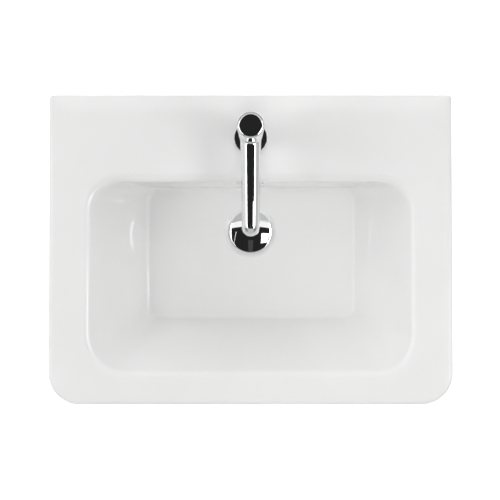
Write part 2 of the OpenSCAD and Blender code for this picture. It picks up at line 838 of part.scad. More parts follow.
module lock_nut() {
  lock_d = tail_d + 20;
  color("gold") at_waste() translate([0, 0, nut_low]) difference() {
    cylinder(d = lock_d, h = lock_t, $fn = 6);
    drill(tail_d + 2 * fit_gap, -past, lock_t + past);
  }
}

cap_low = flange_top + 1;
cap_lip = 2;
cap_wall = 2.5;
cap_edge = 0.5;

// Shallow dome with a short straight edge, hollow underneath, with a hub for the plunger
module waste_cap() {
  dome_r = (pow(cap_d / 2, 2) + pow(cap_rise, 2)) / (2 * cap_rise);
  dome_a = asin(cap_d / 2 / dome_r);
  low = cap_low + cap_lip;
  color(chrome) at_waste() difference() {
    rotate_extrude() polygon(concat(
      [[0, cap_low], [cap_d / 2 - cap_edge, cap_low], [cap_d / 2, cap_low + cap_edge]],
      [for (a = [dome_a:-dome_a / 12:dome_a / 24]) [dome_r * sin(a), low + cap_rise - dome_r * (1 - cos(a))]],
      [[0, low + cap_rise]]));
    tube(cap_d - 2 * cap_wall, cap_hub_d, cap_low - past, low);
    drill(rod_d + 2 * fit_gap, cap_low - past, low + cap_rise / 2);
  }
}

module cap_seal() {
  color(rubber) at_waste()
    tube(cap_seal_d, cap_hub_d + 2 * fit_gap, flange_top + free_gap, cap_low + cap_lip);
}

module click_plunger() {
  color("silver") at_waste() {
    drill(rod_d, collar_z - plunger_collar_t, cap_low + cap_lip + cap_rise / 2 - free_gap);
    drill(chamber_d - 1, collar_z - plunger_collar_t, collar_z);
  }
}

module click_body() {
  color("whitesmoke") at_waste() difference() {
    drill(click_d, click_low, click_top);
    drill(chamber_d, click_low + click_wall, chamber_top);
    drill(rod_d + 2 * fit_gap, chamber_top - past, click_top + past);
  }
}

// Spring: one wire wound round the plunger's axis under its collar
wire_d = 1.2;
spring_d = 8.6;
spring_turns = 6;
spring_low = click_low + click_wall + wire_d / 2;
spring_top = collar_z - plunger_collar_t - wire_d / 2;
spring_steps = 16;
wire_sides = 6;

module click_spring() {
  rise = spring_top - spring_low;
  last = spring_turns * spring_steps;
  r = (spring_d - wire_d) / 2;
  points = [for (i = [0:last]) let(a = 360 * i / spring_steps, z = spring_low + rise * i / last)
    each [for (k = [0:wire_sides - 1]) let(b = 360 * k / wire_sides, q = r + wire_d / 2 * cos(b))
      [q * cos(a), q * sin(a), z + wire_d / 2 * sin(b)]]];
  n = wire_sides;
  color("gray") at_waste() polyhedron(points = points, faces = concat(
    [[for (k = [0:n - 1]) k]],
    [for (j = [0:last - 1], k = [0:n - 1]) let(a = j * n + k, b = j * n + (k + 1) % n)
      each [[a, a + n, b + n], [a, b + n, b]]],
    [[for (k = [n - 1:-1:0]) last * n + k]]));
}

basin();
tap_body();
base_flange();
base_gasket();
fixing_stud();
horseshoe_gasket();
horseshoe_washer();
fixing_nut();
cartridge_housing();
port_seals();
fixed_disc();
moving_disc();
disc_driver();
cartridge_carrier();
lever_pin();
cartridge_lever();
cartridge_nut();
cover_ring();
handle();
grub_screw();
index_plug();
aerator_housing();
aerator_insert();
aerator_washer();
waste_body();
waste_seal();
boss_seal();
slip_washer();
lock_nut();
waste_cap();
cap_seal();
click_plunger();
click_body();
click_spring();
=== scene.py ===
import json
import math

import bmesh
import bpy
import numpy as np
from bpy.props import FloatProperty, FloatVectorProperty, PointerProperty
from mathutils import Matrix, Quaternion, Vector


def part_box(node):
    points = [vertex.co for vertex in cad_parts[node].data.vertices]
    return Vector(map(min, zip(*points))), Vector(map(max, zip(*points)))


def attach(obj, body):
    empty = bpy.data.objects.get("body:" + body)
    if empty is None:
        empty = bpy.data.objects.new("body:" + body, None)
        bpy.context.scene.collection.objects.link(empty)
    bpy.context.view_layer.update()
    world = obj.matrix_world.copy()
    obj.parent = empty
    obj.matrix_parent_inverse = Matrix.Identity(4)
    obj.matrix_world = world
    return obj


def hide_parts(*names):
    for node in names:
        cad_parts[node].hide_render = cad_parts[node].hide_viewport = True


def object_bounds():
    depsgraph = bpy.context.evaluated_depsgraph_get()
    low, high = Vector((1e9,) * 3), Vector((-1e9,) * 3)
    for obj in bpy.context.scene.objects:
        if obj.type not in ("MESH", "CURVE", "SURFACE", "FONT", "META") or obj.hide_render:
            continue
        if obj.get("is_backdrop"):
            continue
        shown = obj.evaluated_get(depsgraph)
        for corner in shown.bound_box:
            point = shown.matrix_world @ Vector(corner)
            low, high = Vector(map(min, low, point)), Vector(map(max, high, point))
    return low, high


bl_info = {
    "name": "Washbasin Dresser",
    "version": (1, 0, 0),
    "blender": (4, 5, 0),
    "location": "View3D > Sidebar > Washbasin",
    "description": "Dresses the washbasin's frame with glaze, chrome and rubber, in a plain studio",
    "category": "Object",
}

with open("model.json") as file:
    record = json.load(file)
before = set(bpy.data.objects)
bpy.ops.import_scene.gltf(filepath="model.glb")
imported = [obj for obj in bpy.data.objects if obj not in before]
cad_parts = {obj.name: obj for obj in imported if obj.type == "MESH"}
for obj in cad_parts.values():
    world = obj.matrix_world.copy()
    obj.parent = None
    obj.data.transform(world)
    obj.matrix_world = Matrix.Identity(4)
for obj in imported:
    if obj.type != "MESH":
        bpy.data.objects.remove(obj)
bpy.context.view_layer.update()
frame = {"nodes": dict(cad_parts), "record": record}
MOUNTS = {mount["name"]: mount for mount in frame["record"]["mounts"]}
BASIN_LOW, BASIN_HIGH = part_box("basin")
HANDLE_LOW, HANDLE_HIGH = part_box("handle")
ROSETTE_LOW, ROSETTE_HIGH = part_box("base_flange")
CAP_LOW, CAP_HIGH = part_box("waste_cap")

MM = 0.001
RIM_Z = BASIN_HIGH.z
TAP_Y = (ROSETTE_LOW.y + ROSETTE_HIGH.y) / 2
WASTE_Y = MOUNTS["waste_outlet"]["pos_m"][1]
MERGE = 2 * MM  # how far the blocks that are joined with the bowl's shell run into it


def radius_of(node):
    """Radius of a round, upright piece of the frame."""
    low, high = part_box(node)
    return (high.x - low.x) / 2


def length(name, value, description):
    """A length in metres that a user can change."""
    return FloatProperty(name=name, description=description, default=value, unit="LENGTH", precision=4)


def angle(name, degrees, description):
    """An angle that a user can change."""
    return FloatProperty(name=name, description=description, default=math.radians(degrees), unit="ROTATION")


def lamp_strength(name, value, description):
    """A brightness that a user can change."""
    return FloatProperty(name=name, description=description, default=value, min=0)


def colour(name, value, description):
    """A colour that a user can change."""
    return FloatVectorProperty(name=name, description=description, default=value, size=3,
                               subtype="COLOR", min=0, max=1)


class BasinSizes(bpy.types.PropertyGroup):
    """Sizes of the glazed basin that the frame's box doesn't give."""
    front_corner: length("Front corner", 47 * MM, "Radius of the two front corners")
    rear_corner: length("Rear corner", 6 * MM, "Radius of the two corners at the wall")
    edge: length("Edge", 7 * MM, "Rounding of the top edge on the front and sides")
    rear_edge: length("Rear edge", 3 * MM, "Rounding of the top edge at the wall")
    deck: length("Deck", 14 * MM, "Thickness of the deck")
    lip_height: length("Lip height", 40 * MM, "Height of the turned-down lip")
    lip: length("Lip", 12 * MM, "Thickness of the lip")
    plate: length("Wall plate", 14 * MM, "Thickness of the wall plate")
    shell: length("Shell", 12 * MM, "Thickness of the bowl's wall")
    bowl_width: length("Bowl width", 496 * MM, "Width of the bowl's opening")
    bowl_rear: length("Bowl rear", 116 * MM, "From the wall to the bowl's opening")
    front_rim: length("Front rim", 41 * MM, "Flat rim in front of the bowl")
    bowl_depth: length("Bowl depth", 105 * MM, "Depth of the bowl at the foot of its walls")
    fall: length("Fall", 4 * MM, "Fall of the floor towards the waste")
    floor_width: length("Floor width", 313 * MM, "Width of the flat floor")
    floor_rear: length("Floor rear", 141 * MM, "From the wall to the floor's rear edge")
    floor_front: length("Floor front", 132 * MM, "From the front edge to the floor's front edge")
    rim: length("Rim", 13 * MM, "Rounding of the bowl's rim")
    foot: length("Foot", 11 * MM, "Rounding at the foot of the bowl's walls")
    bowl_rear_corner: length("Bowl rear corner", 50 * MM, "Corner radius of the opening at the rear")
    bowl_front_corner: length("Bowl front corner", 58 * MM, "Corner radius of the opening at the front")
    floor_corner: length("Floor corner", 16 * MM, "Corner radius of the floor")
    recess: length("Recess", 37.8 * MM, "Radius of the recess round the waste")
    recess_depth: length("Recess depth", 4 * MM, "Depth of that recess")
    waste_hole: length("Waste hole", 23 * MM, "Radius of the waste hole")
    boss: length("Boss", 46 * MM, "Radius of the waste boss")
    tap_hole: length("Tap hole", 17.5 * MM, "Radius of the tap hole")
    bolt_hole: length("Bolt hole", 7 * MM, "Radius of the wall bolt holes")
    slot_width: length("Overflow width", 42 * MM, "Width of the overflow slot")
    slot_height: length("Overflow height", 10 * MM, "Height of the overflow slot")
    slot_drop: length("Overflow drop", 30 * MM, "Depth of the slot's middle below the rim")
    channel: length("Channel", 11 * MM, "Clear depth of the overflow channel")
    channel_wall: length("Channel wall", 10 * MM, "Thickness of the channel's walls")
    plate_width: length("Plate width", 460 * MM, "Width of the wall plate")
    plate_drop: length("Plate drop", 130 * MM, "Depth from the rim to the wall plate's lower edge")
    rib: length("Rib", 12 * MM, "Thickness of the ribs behind the bowl")
    rib_spacing: length("Rib spacing", 170 * MM, "Distance between the inner ribs' middles")
    rib_height: length("Rib height", 70 * MM, "Height of the inner ribs below the deck")


class TapSizes(bpy.types.PropertyGroup):
    """Sizes of the tap that the frame's box doesn't give."""
    column: length("Column", 18.15 * MM, "Radius of the column")
    column_top: length("Column top", 107 * MM, "Height of the column above the deck")
    column_foot: length("Column foot", 2 * MM, "Height of the column's foot above the deck")
    root: length("Spout root", 15.1 * MM, "Radius of the spout at the column")
    tip: length("Spout tip", 12.5 * MM, "Radius of the spout near its end")
    root_height: length("Spout height", 78 * MM, "Height of the spout's axis at the column's middle")
    reach: length("Reach", 136 * MM, "From the tap's axis to the middle of the outlet")
    bend: length("Bend", 6 * MM, "Radius of the spout's bend over the outlet, along the spout's middle")
    slope: angle("Slope", 3, "Downward slope of the spout")
    outlet_drop: length("Outlet drop", 3 * MM, "How far the outlet stands out below the spout")
    blend: length("Blend", 3 * MM, "Size of the soft blend between column and spout")
    skirt: length("Skirt", 2 * MM, "Thickness of the handle's skirt")
    handle_edge: length("Handle edge", 4.5 * MM, "Rounding of the edge round the handle's flat top")
    tilt: angle("Skirt slant", 10.2, "Slant of the handle's lower edge")


class Finishes(bpy.types.PropertyGroup):
    """Colours of the object's finishes."""
    glaze: colour("Glaze", (0.81, 0.81, 0.807), "Colour of the white glaze")
    chrome: colour("Chrome", (0.83, 0.835, 0.84), "Colour of the chrome plate")
    rubber: colour("Rubber", (0.025, 0.025, 0.026), "Colour of the seals")
    acetal: colour("Plastic", (0.80, 0.79, 0.75), "Colour of the pale moulded plastic")
    dark: colour("Dark plastic", (0.06, 0.065, 0.07), "Colour of the dark moulded plastic")
    plug: colour("Plug", (0.52, 0.53, 0.54), "Colour of the small plug in the handle")
    brass: colour("Brass", (0.72, 0.52, 0.22), "Colour of the turned brass")
    zinc: colour("Zinc", (0.62, 0.64, 0.66), "Colour of the zinc plate")
    steel: colour("Steel", (0.66, 0.66, 0.65), "Colour of the drawn steel")
    alumina: colour("Alumina", (0.86, 0.84, 0.78), "Colour of the lapped discs")


class Studio(bpy.types.PropertyGroup):
    """Camera and light of the plain studio."""
    camera_height: length("Camera height", 1.644, "Height of the camera above the rim")
    camera_aim: length("Aim", 0.231, "From the wall to the point on the rim that the camera looks at")
    camera_side: length("Camera side", -1 * MM, "How far right of the middle the camera stands")
    camera_tilt: angle("Tilt", 1.64, "Lean of the camera towards the wall")
    lens: FloatProperty(name="Lens", description="Focal length in millimetres", default=79.9, unit="CAMERA")
    fill: lamp_strength("Fill", 0.42, "Strength of the even light from all round")
    key: lamp_strength("Key", 4.0, "Brightness of the right softbox")
    strip: lamp_strength("Strip", 2.2, "Brightness of the left strip")
    panel: lamp_strength("Panel", 1.0, "Scale of the brightness of the panels all round")


def shape_of(name):
    """The property group of that name, which register() puts on the scene."""
    return getattr(bpy.context.scene, "washbasin_" + name)


class Wire:
    """A socket that arithmetic works on: each operator adds the Math node that it stands for."""

    def __init__(self, graph, socket):
        self.graph = graph
        self.socket = socket

    def math(self, operation, first, second):
        return self.graph.node("ShaderNodeMath", {"operation": operation}, {0: first, 1: second})

    def __add__(self, other):
        return self.math("ADD", self, other)

    def __sub__(self, other):
        return self.math("SUBTRACT", self, other)

    def __rsub__(self, other):
        return self.math("SUBTRACT", other, self)

    def __mul__(self, other):
        return self.math("MULTIPLY", self, other)

    __radd__ = __add__
    __rmul__ = __mul__


class Graph:
    """The node tree of one material or of the world."""

    def __init__(self, owner):
        owner.use_nodes = True
        self.tree = owner.node_tree
        self.tree.nodes.clear()

    def node(self, kind, settings=None, inputs=None, output=0):
        """Adds a node. Its settings are set first, and then the values or links of its sockets."""
        made = self.tree.nodes.new(kind)
        for name, value in (settings or {}).items():
            setattr(made, name, value)
        for name, value in (inputs or {}).items():
            if isinstance(value, Wire):
                self.tree.links.new(value.socket, made.inputs[name])
            else:
                made.inputs[name].default_value = value
        return Wire(self, made.outputs[output]) if made.outputs else None

    def place(self):
        """Position on the object, in metres."""
        return self.node("ShaderNodeTexCoord", output="Object")

    def stretch(self, vector, scale):
        return self.node("ShaderNodeVectorMath", {"operation": "MULTIPLY"}, {0: vector, 1: scale})

    def noise(self, scale, detail=3.0, vector=None, roughness=0.5):
        """Noise from 0 to 1, with scale features a metre."""
        return self.node("ShaderNodeTexNoise", inputs={
            "Vector": vector or self.place(), "Scale": scale, "Detail": detail, "Roughness": roughness})

    def band(self, value, low, high, start=0.0, end=1.0):
        """Maps value from low..high to start..end, with soft ends."""
        return self.node("ShaderNodeMapRange", {"interpolation_type": "SMOOTHSTEP"}, {
            "Value": value, "From Min": low, "From Max": high, "To Min": start, "To Max": end})

    def mix(self, factor, first, second):
        """Mixes two colours."""
        return self.node("ShaderNodeMix", {"data_type": "RGBA"},
                         {"Factor": factor, "A": rgba(first), "B": rgba(second)}, output="Result")

    def bump(self, height, strength, distance):
        return self.node("ShaderNodeBump", inputs={
            "Height": height, "Strength": strength, "Distance": distance})

    def glow(self, brightness):
        """The shader of an even white glow."""
        return self.node("ShaderNodeEmission", inputs={"Color": (1, 1, 1, 1), "Strength": brightness})

    def blend(self, factor, first, second):
        """Mixes two shaders."""
        return self.node("ShaderNodeMixShader", inputs={0: factor, 1: first, 2: second})

    def end_in(self, shader):
        """Ends a material in that shader."""
        self.node("ShaderNodeOutputMaterial", inputs={"Surface": shader})

    def surface(self, **sockets):
        """Ends a material in a Principled shader with those sockets."""
        named = {name.replace("_", " "): value for name, value in sockets.items()}
        self.end_in(self.node("ShaderNodeBsdfPrincipled", inputs=named))


def rgba(value):
    """A colour with its alpha, or a wire as it is."""
    return value if isinstance(value, Wire) else (*value, 1)


def shaded(value, factor):
    """A colour made darker or lighter."""
    return tuple(min(1.0, channel * factor) for channel in value)


MATERIALS = {}


def material(name, make):
    """The material of that name, made on first use."""
    if name not in MATERIALS:
        MATERIALS[name] = bpy.data.materials.new(name)
        make(Graph(MATERIALS[name]))
    return MATERIALS[name]


def make_glaze(graph):
    """Fired white glaze: glassy, faintly wavy, with a soft change of tone."""
    base = shape_of("finishes").glaze
    cloud = graph.noise(7, 2)
    wave = graph.noise(55, 2)
    grain = graph.noise(900, 2)
    tone = graph.mix(graph.band(cloud, 0.35, 0.65), shaded(base, 0.985), shaded(base, 1.01))
    graph.surface(Base_Color=tone, Roughness=graph.band(wave, 0.3, 0.7, 0.05, 0.075), IOR=1.52,
                  Normal=graph.bump(wave + grain * 0.04, 0.10, 0.0004))


def make_chrome(graph):
    """Bright chrome plate: a mirror with faint smears and hairlines."""
    base = shape_of("finishes").chrome
    smear = graph.noise(60, 4, roughness=0.6)
    hair = graph.noise(1.0, 4, graph.stretch(graph.place(), (2600, 90, 2600)))
    tone = graph.mix(graph.band(smear, 0.4, 0.7), shaded(base, 1.0), shaded(base, 0.96))
    rough = graph.band(smear, 0.35, 0.75, 0.028, 0.055) + graph.band(hair, 0.62, 0.8, 0.0, 0.05)
    graph.surface(Base_Color=tone, Metallic=1.0, Roughness=rough,
                  Normal=graph.bump(hair, 0.03, 0.00002))


def make_rubber(graph):
    """Moulded seal rubber: dull, with a fine skin."""
    base = shape_of("finishes").rubber
    skin = graph.noise(1500, 3)
    dust = graph.noise(90, 4)
    graph.surface(Base_Color=graph.mix(graph.band(dust, 0.5, 0.8), base, shaded(base, 2.2)),
                  Roughness=graph.band(skin, 0.3, 0.7, 0.55, 0.72), Normal=graph.bump(skin, 0.3, 0.0001))


def moulded(base_name, low, high):
    """A moulded plastic of that colour: a soft sheen with flow marks."""
    def make(graph):
        base = getattr(shape_of("finishes"), base_name)
        flow = graph.noise(1.0, 3, graph.stretch(graph.place(), (160, 160, 40)))
        fine = graph.noise(2200, 2)
        graph.surface(Base_Color=graph.mix(graph.band(flow, 0.35, 0.7), base, shaded(base, 0.93)),
                      Roughness=graph.band(flow, 0.3, 0.7, low, high), Normal=graph.bump(fine, 0.15, 0.00005))
    return make


def plated(base_name, low, high):
    """A metal of that colour, turned or drawn, with fine rings and a few dull patches."""
    def make(graph):
        base = getattr(shape_of("finishes"), base_name)
        rings = graph.noise(1.0, 4, graph.stretch(graph.place(), (40, 40, 4200)))
        patch = graph.noise(110, 4)
        graph.surface(Base_Color=graph.mix(graph.band(patch, 0.45, 0.75), base, shaded(base, 0.8)),
                      Metallic=1.0, Roughness=graph.band(rings + patch * 0.4, 0.4, 1.0, low, high),
                      Normal=graph.bump(rings, 0.12, 0.00004))
    return make


def make_alumina(graph):
    """Lapped ceramic discs: pale and faintly speckled."""
    base = shape_of("finishes").alumina
    speck = graph.noise(2600, 3)
    graph.surface(Base_Color=graph.mix(graph.band(speck, 0.55, 0.7), base, shaded(base, 0.88)),
                  Roughness=graph.band(speck, 0.3, 0.7, 0.22, 0.34), Normal=graph.bump(speck, 0.05, 0.00003))


FINISH_MAKERS = {
    "glaze": make_glaze,
    "chrome": make_chrome,
    "handle_chrome": make_chrome,
    "waste_chrome": make_chrome,
    "cap_chrome": make_chrome,
    "zinc_steel": plated("zinc", 0.24, 0.42),
    "bright_steel": plated("steel", 0.14, 0.30),
    "bare_brass": plated("brass", 0.20, 0.36),
    "black_rubber": make_rubber,
    "moulded_plastic": moulded("acetal", 0.34, 0.46),
    "dark_plastic": moulded("dark", 0.30, 0.42),
    "plug_plastic": moulded("plug", 0.22, 0.32),
    "disc_ceramic": make_alumina,
}


def finish_of(slot):
    """The material of one of the record's slots."""
    return material(slot, FINISH_MAKERS[slot])


def new_piece(name, points, faces):
    """A mesh object from points and faces."""
    mesh = bpy.data.meshes.new(name)
    mesh.from_pydata([tuple(p) for p in points], [], [tuple(f) for f in faces])
    piece = bpy.data.objects.new(name, mesh)
    bpy.context.scene.collection.objects.link(piece)
    return piece


def dress(piece, slot, body, nodes, sharp=math.radians(32)):
    """Gives a piece its finish, its shading and its body, and hides the nodes of the frame that it stands
    for.
    """
    piece.data.materials.clear()
    piece.data.materials.append(finish_of(slot))
    piece.data.polygons.foreach_set("material_index", [0] * len(piece.data.polygons))
    piece.data.shade_smooth()
    piece.data.set_sharp_from_angle(angle=sharp)
    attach(piece, body)
    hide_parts(*nodes)


def solid_with(piece, others, operation):
    """Joins or cuts a closed mesh with others, which are used up."""
    for other in others:
        step = piece.modifiers.new(other.name, "BOOLEAN")
        step.operation = operation
        step.solver = "EXACT"
        step.object = other
    graph = bpy.context.evaluated_depsgraph_get()
    graph.update()
    made = bpy.data.meshes.new_from_object(piece.evaluated_get(graph))
    piece.modifiers.clear()
    piece.data = made
    for other in others:
        bpy.data.objects.remove(other)


def ring_faces(rings, count, closed):
    """The faces between rings of count points each. closed joins the last ring to the first one."""
    faces = []
    for j in range(rings if closed else rings - 1):
        k = (j + 1) % rings
        for i in range(count):
            n = (i + 1) % count
            faces.append((j * count + i, j * count + n, k * count + n, k * count + i))
    return faces


def loft(name, rings, closed):
    """A mesh through rings of as many points each. One that isn't closed gets its two ends."""
    count = len(rings[0])
    faces = ring_faces(len(rings), count, closed)
    if not closed:
        faces.append(tuple(reversed(range(count))))
        faces.append(tuple(range((len(rings) - 1) * count, len(rings) * count)))
    return new_piece(name, [point for ring in rings for point in ring], faces)


def lathe(name, profile, centre, steps=160):
    """A turned solid from points of radius and height, which close or start and end on the axis."""
    on_axis = profile[0][0] == 0
    turns = [math.tau * i / steps for i in range(steps)]
    rings = [[(centre[0] + radius * math.cos(turn), centre[1] + radius * math.sin(turn), centre[2] + height)
              for turn in turns] for radius, height in (profile[1:-1] if on_axis else profile)]
    if not on_axis:
        return loft(name, rings, True)
    points = [point for ring in rings for point in ring]
    faces = ring_faces(len(rings), steps, False)
    last = len(points) - steps
    for _, height in (profile[0], profile[-1]):
        points.append((centre[0], centre[1], centre[2] + height))
    for i in range(steps):
        n = (i + 1) % steps
        faces.append((i, len(points) - 2, n))
        faces.append((last + i, last + n, len(points) - 1))
    return new_piece(name, points, faces)


def rod(name, start, end, radius, steps=96):
    """A cylinder between two points."""
    axis = Vector(end) - Vector(start)
    turn = axis.to_track_quat("Z", "Y").to_matrix()
    rings = [[Vector(start) + turn @ Vector((radius * math.cos(math.tau * i / steps),
                                             radius * math.sin(math.tau * i / steps), height))
              for i in range(steps)] for height in (0, axis.length)]
    return loft(name, rings, False)


def block(name, low, high, rounding=0.0, steps=4):
    """A box between two corners, with edges rounded in that many steps if asked for."""
    corners = [(x, y, z) for x in (low[0], high[0]) for y in (low[1], high[1]) for z in (low[2], high[2])]
    faces = [(0, 1, 3, 2), (4, 6, 7, 5), (0, 4, 5, 1), (2, 3, 7, 6), (0, 2, 6, 4), (1, 5, 7, 3)]
    piece = new_piece(name, corners, faces)
    if rounding:
        shape = bmesh.new()
        shape.from_mesh(piece.data)
        bmesh.ops.bevel(shape, geom=shape.edges[:] + shape.verts[:], offset=rounding, segments=steps,
                        profile=0.5, affect="EDGES")
        shape.to_mesh(piece.data)
        shape.free()
    return piece


def arc(radius_to_centre, height, radius, start, end, steps):
    """Points of an arc in the plane of a profile, with its angles in degrees."""
    return [(radius_to_centre + radius * math.cos(math.radians(start + (end - start) * i / steps)),
             height + radius * math.sin(math.radians(start + (end - start) * i / steps)))
            for i in range(steps + 1)]


def quarter(radius, step=15):
    """How far the points of a quarter arc, step degrees apart, are short of the arc's two sides."""
    turns = [math.radians(degrees) for degrees in range(0, 91, step)]
    return [(radius * (1 - math.sin(turn)), radius * (1 - math.cos(turn))) for turn in turns]


CORNER_STEPS = 20
SIDE_STEPS = 18


def outline(half, rear, front, rear_radius, front_radius):
    """A rounded rectangle's points, anticlockwise seen from above, from the right rear corner."""
    corners = ((half - rear_radius, rear - rear_radius, rear_radius, 0),
               (rear_radius - half, rear - rear_radius, rear_radius, 90),
               (front_radius - half, front + front_radius, front_radius, 180),
               (half - front_radius, front + front_radius, front_radius, 270))
    points = []
    for index, (x, y, radius, start) in enumerate(corners):
        turn = np.radians(start + 90 * np.arange(CORNER_STEPS + 1) / CORNER_STEPS)
        points += list(zip(x + radius * np.cos(turn), y + radius * np.sin(turn)))
        nx, ny, next_radius, next_start = corners[(index + 1) % 4]
        begin = np.array(points[-1])
        end = np.array((nx + next_radius * math.cos(math.radians(next_start)),
                        ny + next_radius * math.sin(math.radians(next_start))))
        points += [tuple(begin + (end - begin) * k / SIDE_STEPS) for k in range(1, SIDE_STEPS)]
    return np.array(points)


def edge_in(depth, radius):
    """How far in a rounded edge has come at a depth below its flat top."""
    return 0.0 if depth >= radius else radius - math.sqrt(radius ** 2 - (radius - depth) ** 2)


class Basin:
    """The basin's surfaces as rings of points at depths below the rim."""

    def __init__(self, sizes):
        self.s = sizes
        self.half = BASIN_HIGH.x
        self.front = BASIN_LOW.y
        self.waste = np.array((0.0, WASTE_Y))
        self.back = -sizes.bowl_rear - sizes.rim + sizes.shell
        self.floor_drop = sizes.bowl_depth + sizes.fall

    def at(self, points, depth):
        """Lifts points of the plan to a depth below the rim."""
        depths = np.broadcast_to(depth, (len(points),))
        return [(x, y, RIM_Z - d) for (x, y), d in zip(points, depths)]

    def slope(self, run):
        """Slope of a wall that leaves the rim's rounding and meets the foot's rounding."""
        s = self.s
        rise = s.bowl_depth - s.foot - s.rim
        return math.atan2(rise, run) + math.asin((s.rim + s.foot) / math.hypot(run, rise))

    def wall_in(self, depth, run, out):
        """How far in from the opening a wall has come at a depth, out outside the bowl's surface."""
        s = self.s
        slope = self.slope(run)
        line_top = s.rim - (s.rim - out) * math.cos(slope)
        foot_centre = s.bowl_depth - s.foot
        line_end = foot_centre + (s.foot + out) * math.cos(slope)
        if depth < line_top:
            return math.sqrt(max(0.0, (s.rim - out) ** 2 - (s.rim - depth) ** 2))
        if depth < line_end:
            return (s.rim - out) * math.sin(slope) + (depth - line_top) / math.tan(slope)
        return run - math.sqrt(max(0.0, (s.foot + out) ** 2 - (depth - foot_centre) ** 2))

    def bowl(self, depth, out=0.0, spread=0.0):
        """Plan of the bowl at a depth, out outside its surface and spread wider all round."""
        s = self.s
        side_run = (s.bowl_width - s.floor_width) / 2
        side = self.wall_in(depth, side_run, out)
        rest = 1 - side / side_run
        rear = -s.bowl_rear - self.wall_in(depth, s.floor_rear - s.bowl_rear, out)
        front = self.front + s.front_rim + self.wall_in(depth, s.floor_front - s.front_rim, out)
        corners = [s.floor_corner + (wide - s.floor_corner) * rest + spread
                   for wide in (s.bowl_rear_corner, s.bowl_front_corner)]
        return outline(s.bowl_width / 2 - side + spread, rear + spread, front - spread, *corners)

    def slab(self, depth, inset=0.0):
        """Plan of the basin's outside at a depth."""
        s = self.s
        side = edge_in(depth, s.edge) + inset
        rear = edge_in(depth, s.rear_edge) + inset
        return outline(self.half - side, -rear, self.front + side,
                       max(1 * MM, s.rear_corner - side), s.front_corner - side)

    def lip(self, inset=0.0):
        """Plan of the space inside the lip and the wall plate."""
        s = self.s
        return outline(self.half - s.lip - inset, -s.plate - inset, self.front + s.lip + inset,
                       max(1 * MM, s.rear_corner - s.lip) + inset, s.front_corner - s.lip - inset)

    def circle(self, radius, plan):
        """A circle about the waste whose points lie in the directions of a plan's points."""
        ways = plan - self.waste
        return self.waste + ways / np.linalg.norm(ways, axis=1)[:, None] * radius

    def spread_rings(self, plan, radius, depth_out, depth_in, steps):
        """Rings from a plan in to a circle about the waste, without the plan itself."""
        inner = self.circle(radius, plan)
        return [self.at(plan + (inner - plan) * part, depth_out + (depth_in - depth_out) * part)
                for part in (k / steps for k in range(1, steps + 1))]

    def top_rings(self):
        """From the lip's lower edge over the deck, down the bowl and through the waste hole."""
        s = self.s
        soft = 3 * MM
        wall_steps = 12
        lip_middle, below_edge = s.lip_height * 0.6, s.edge * 1.4
        slab_depths = [lip_middle, below_edge] + [down for down, _ in quarter(s.edge, 6)]
        wall_top, wall_end = s.rim, s.bowl_depth - s.foot
        bowl_depths = [down for _, down in quarter(s.rim, 5)[:-1]]
        bowl_depths += [wall_top + (wall_end - wall_top) * k / wall_steps for k in range(wall_steps + 1)]
        bowl_depths += [s.bowl_depth - up for _, up in quarter(s.foot, 6)[-2::-1]]
        rings = [self.at(self.slab(s.lip_height, inset), s.lip_height - up) for inset, up in quarter(soft)]
        rings += [self.at(self.slab(depth), depth) for depth in slab_depths]
        rings += [self.at(self.bowl(depth), depth) for depth in bowl_depths]
        return rings + self.floor_rings()

    def floor_rings(self):
        """From the foot of the walls over the floor and the dish round the waste, down the waste hole."""
        s = self.s
        steps = 14
        mouth = 1.5 * MM
        dish_out, shoulder = s.recess + 4.2 * MM, s.recess - 3.6 * MM
        dish_in = radius_of("waste_body") + 0.2 * MM
        shoulder_share = 0.44
        plan = self.bowl(s.bowl_depth)
        reach = np.linalg.norm(plan - self.waste, axis=1)
        edge_depth = self.floor_drop - s.fall * dish_out / reach
        low = self.floor_drop + s.recess_depth
        middle = edge_depth + (low - edge_depth) * shoulder_share
        rings = self.spread_rings(plan, dish_out, s.bowl_depth, edge_depth, steps)
        for start, end, from_depth, to_depth in ((dish_out, shoulder, edge_depth, middle),
                                                 (shoulder, dish_in, middle, low)):
            for part in (k / steps for k in range(1, steps + 1)):
                down = (1 - math.cos(math.pi * part)) / 2
                rings.append(self.at(self.circle(start + (end - start) * part, plan),
                                     from_depth + (to_depth - from_depth) * down))
        return rings + [self.at(self.circle(s.waste_hole + out, plan), low + down)
                        for out, down in quarter(mouth)]

    def under_rings(self):
        """From the boss's underside over the bowl's outside and under the deck to the lip's inside."""
        s = self.s
        steps = 8
        soft, fillet, chamfer = 3 * MM, 6 * MM, 1 * MM
        drop = RIM_Z - BASIN_LOW.z
        under = s.bowl_depth + s.shell
        plan = self.bowl(under, s.shell)
        boss_foot = self.circle(s.boss + fillet, plan)
        depths = [under - up for _, up in quarter(s.foot + s.shell, 8)[1:]]
        wall_low, wall_high = depths[-1], s.deck + fillet
        depths += [wall_low + (wall_high - wall_low) * k / steps for k in range(1, steps + 1)]
        rings = [self.at(self.circle(s.waste_hole, plan), drop - chamfer),
                 self.at(self.circle(s.waste_hole + chamfer, plan), drop)]
        rings += [self.at(self.circle(s.boss - inset, plan), drop - up) for inset, up in quarter(soft)]
        rings += [self.at(self.circle(s.boss + out, plan), under + down) for down, out in quarter(fillet)]
        rings += [self.at(boss_foot + (plan - boss_foot) * k / steps, under) for k in range(1, steps + 1)]
        rings += [self.at(self.bowl(depth, s.shell), depth) for depth in depths]
        rings += [self.at(self.bowl(s.deck + down, s.shell, out), s.deck + down)
                  for down, out in quarter(fillet)[1:]]
        rings += [self.at(self.lip(out), s.deck + down) for down, out in reversed(quarter(fillet))]
        return rings + [self.at(self.lip(-out), s.lip_height - up) for up, out in quarter(soft)]

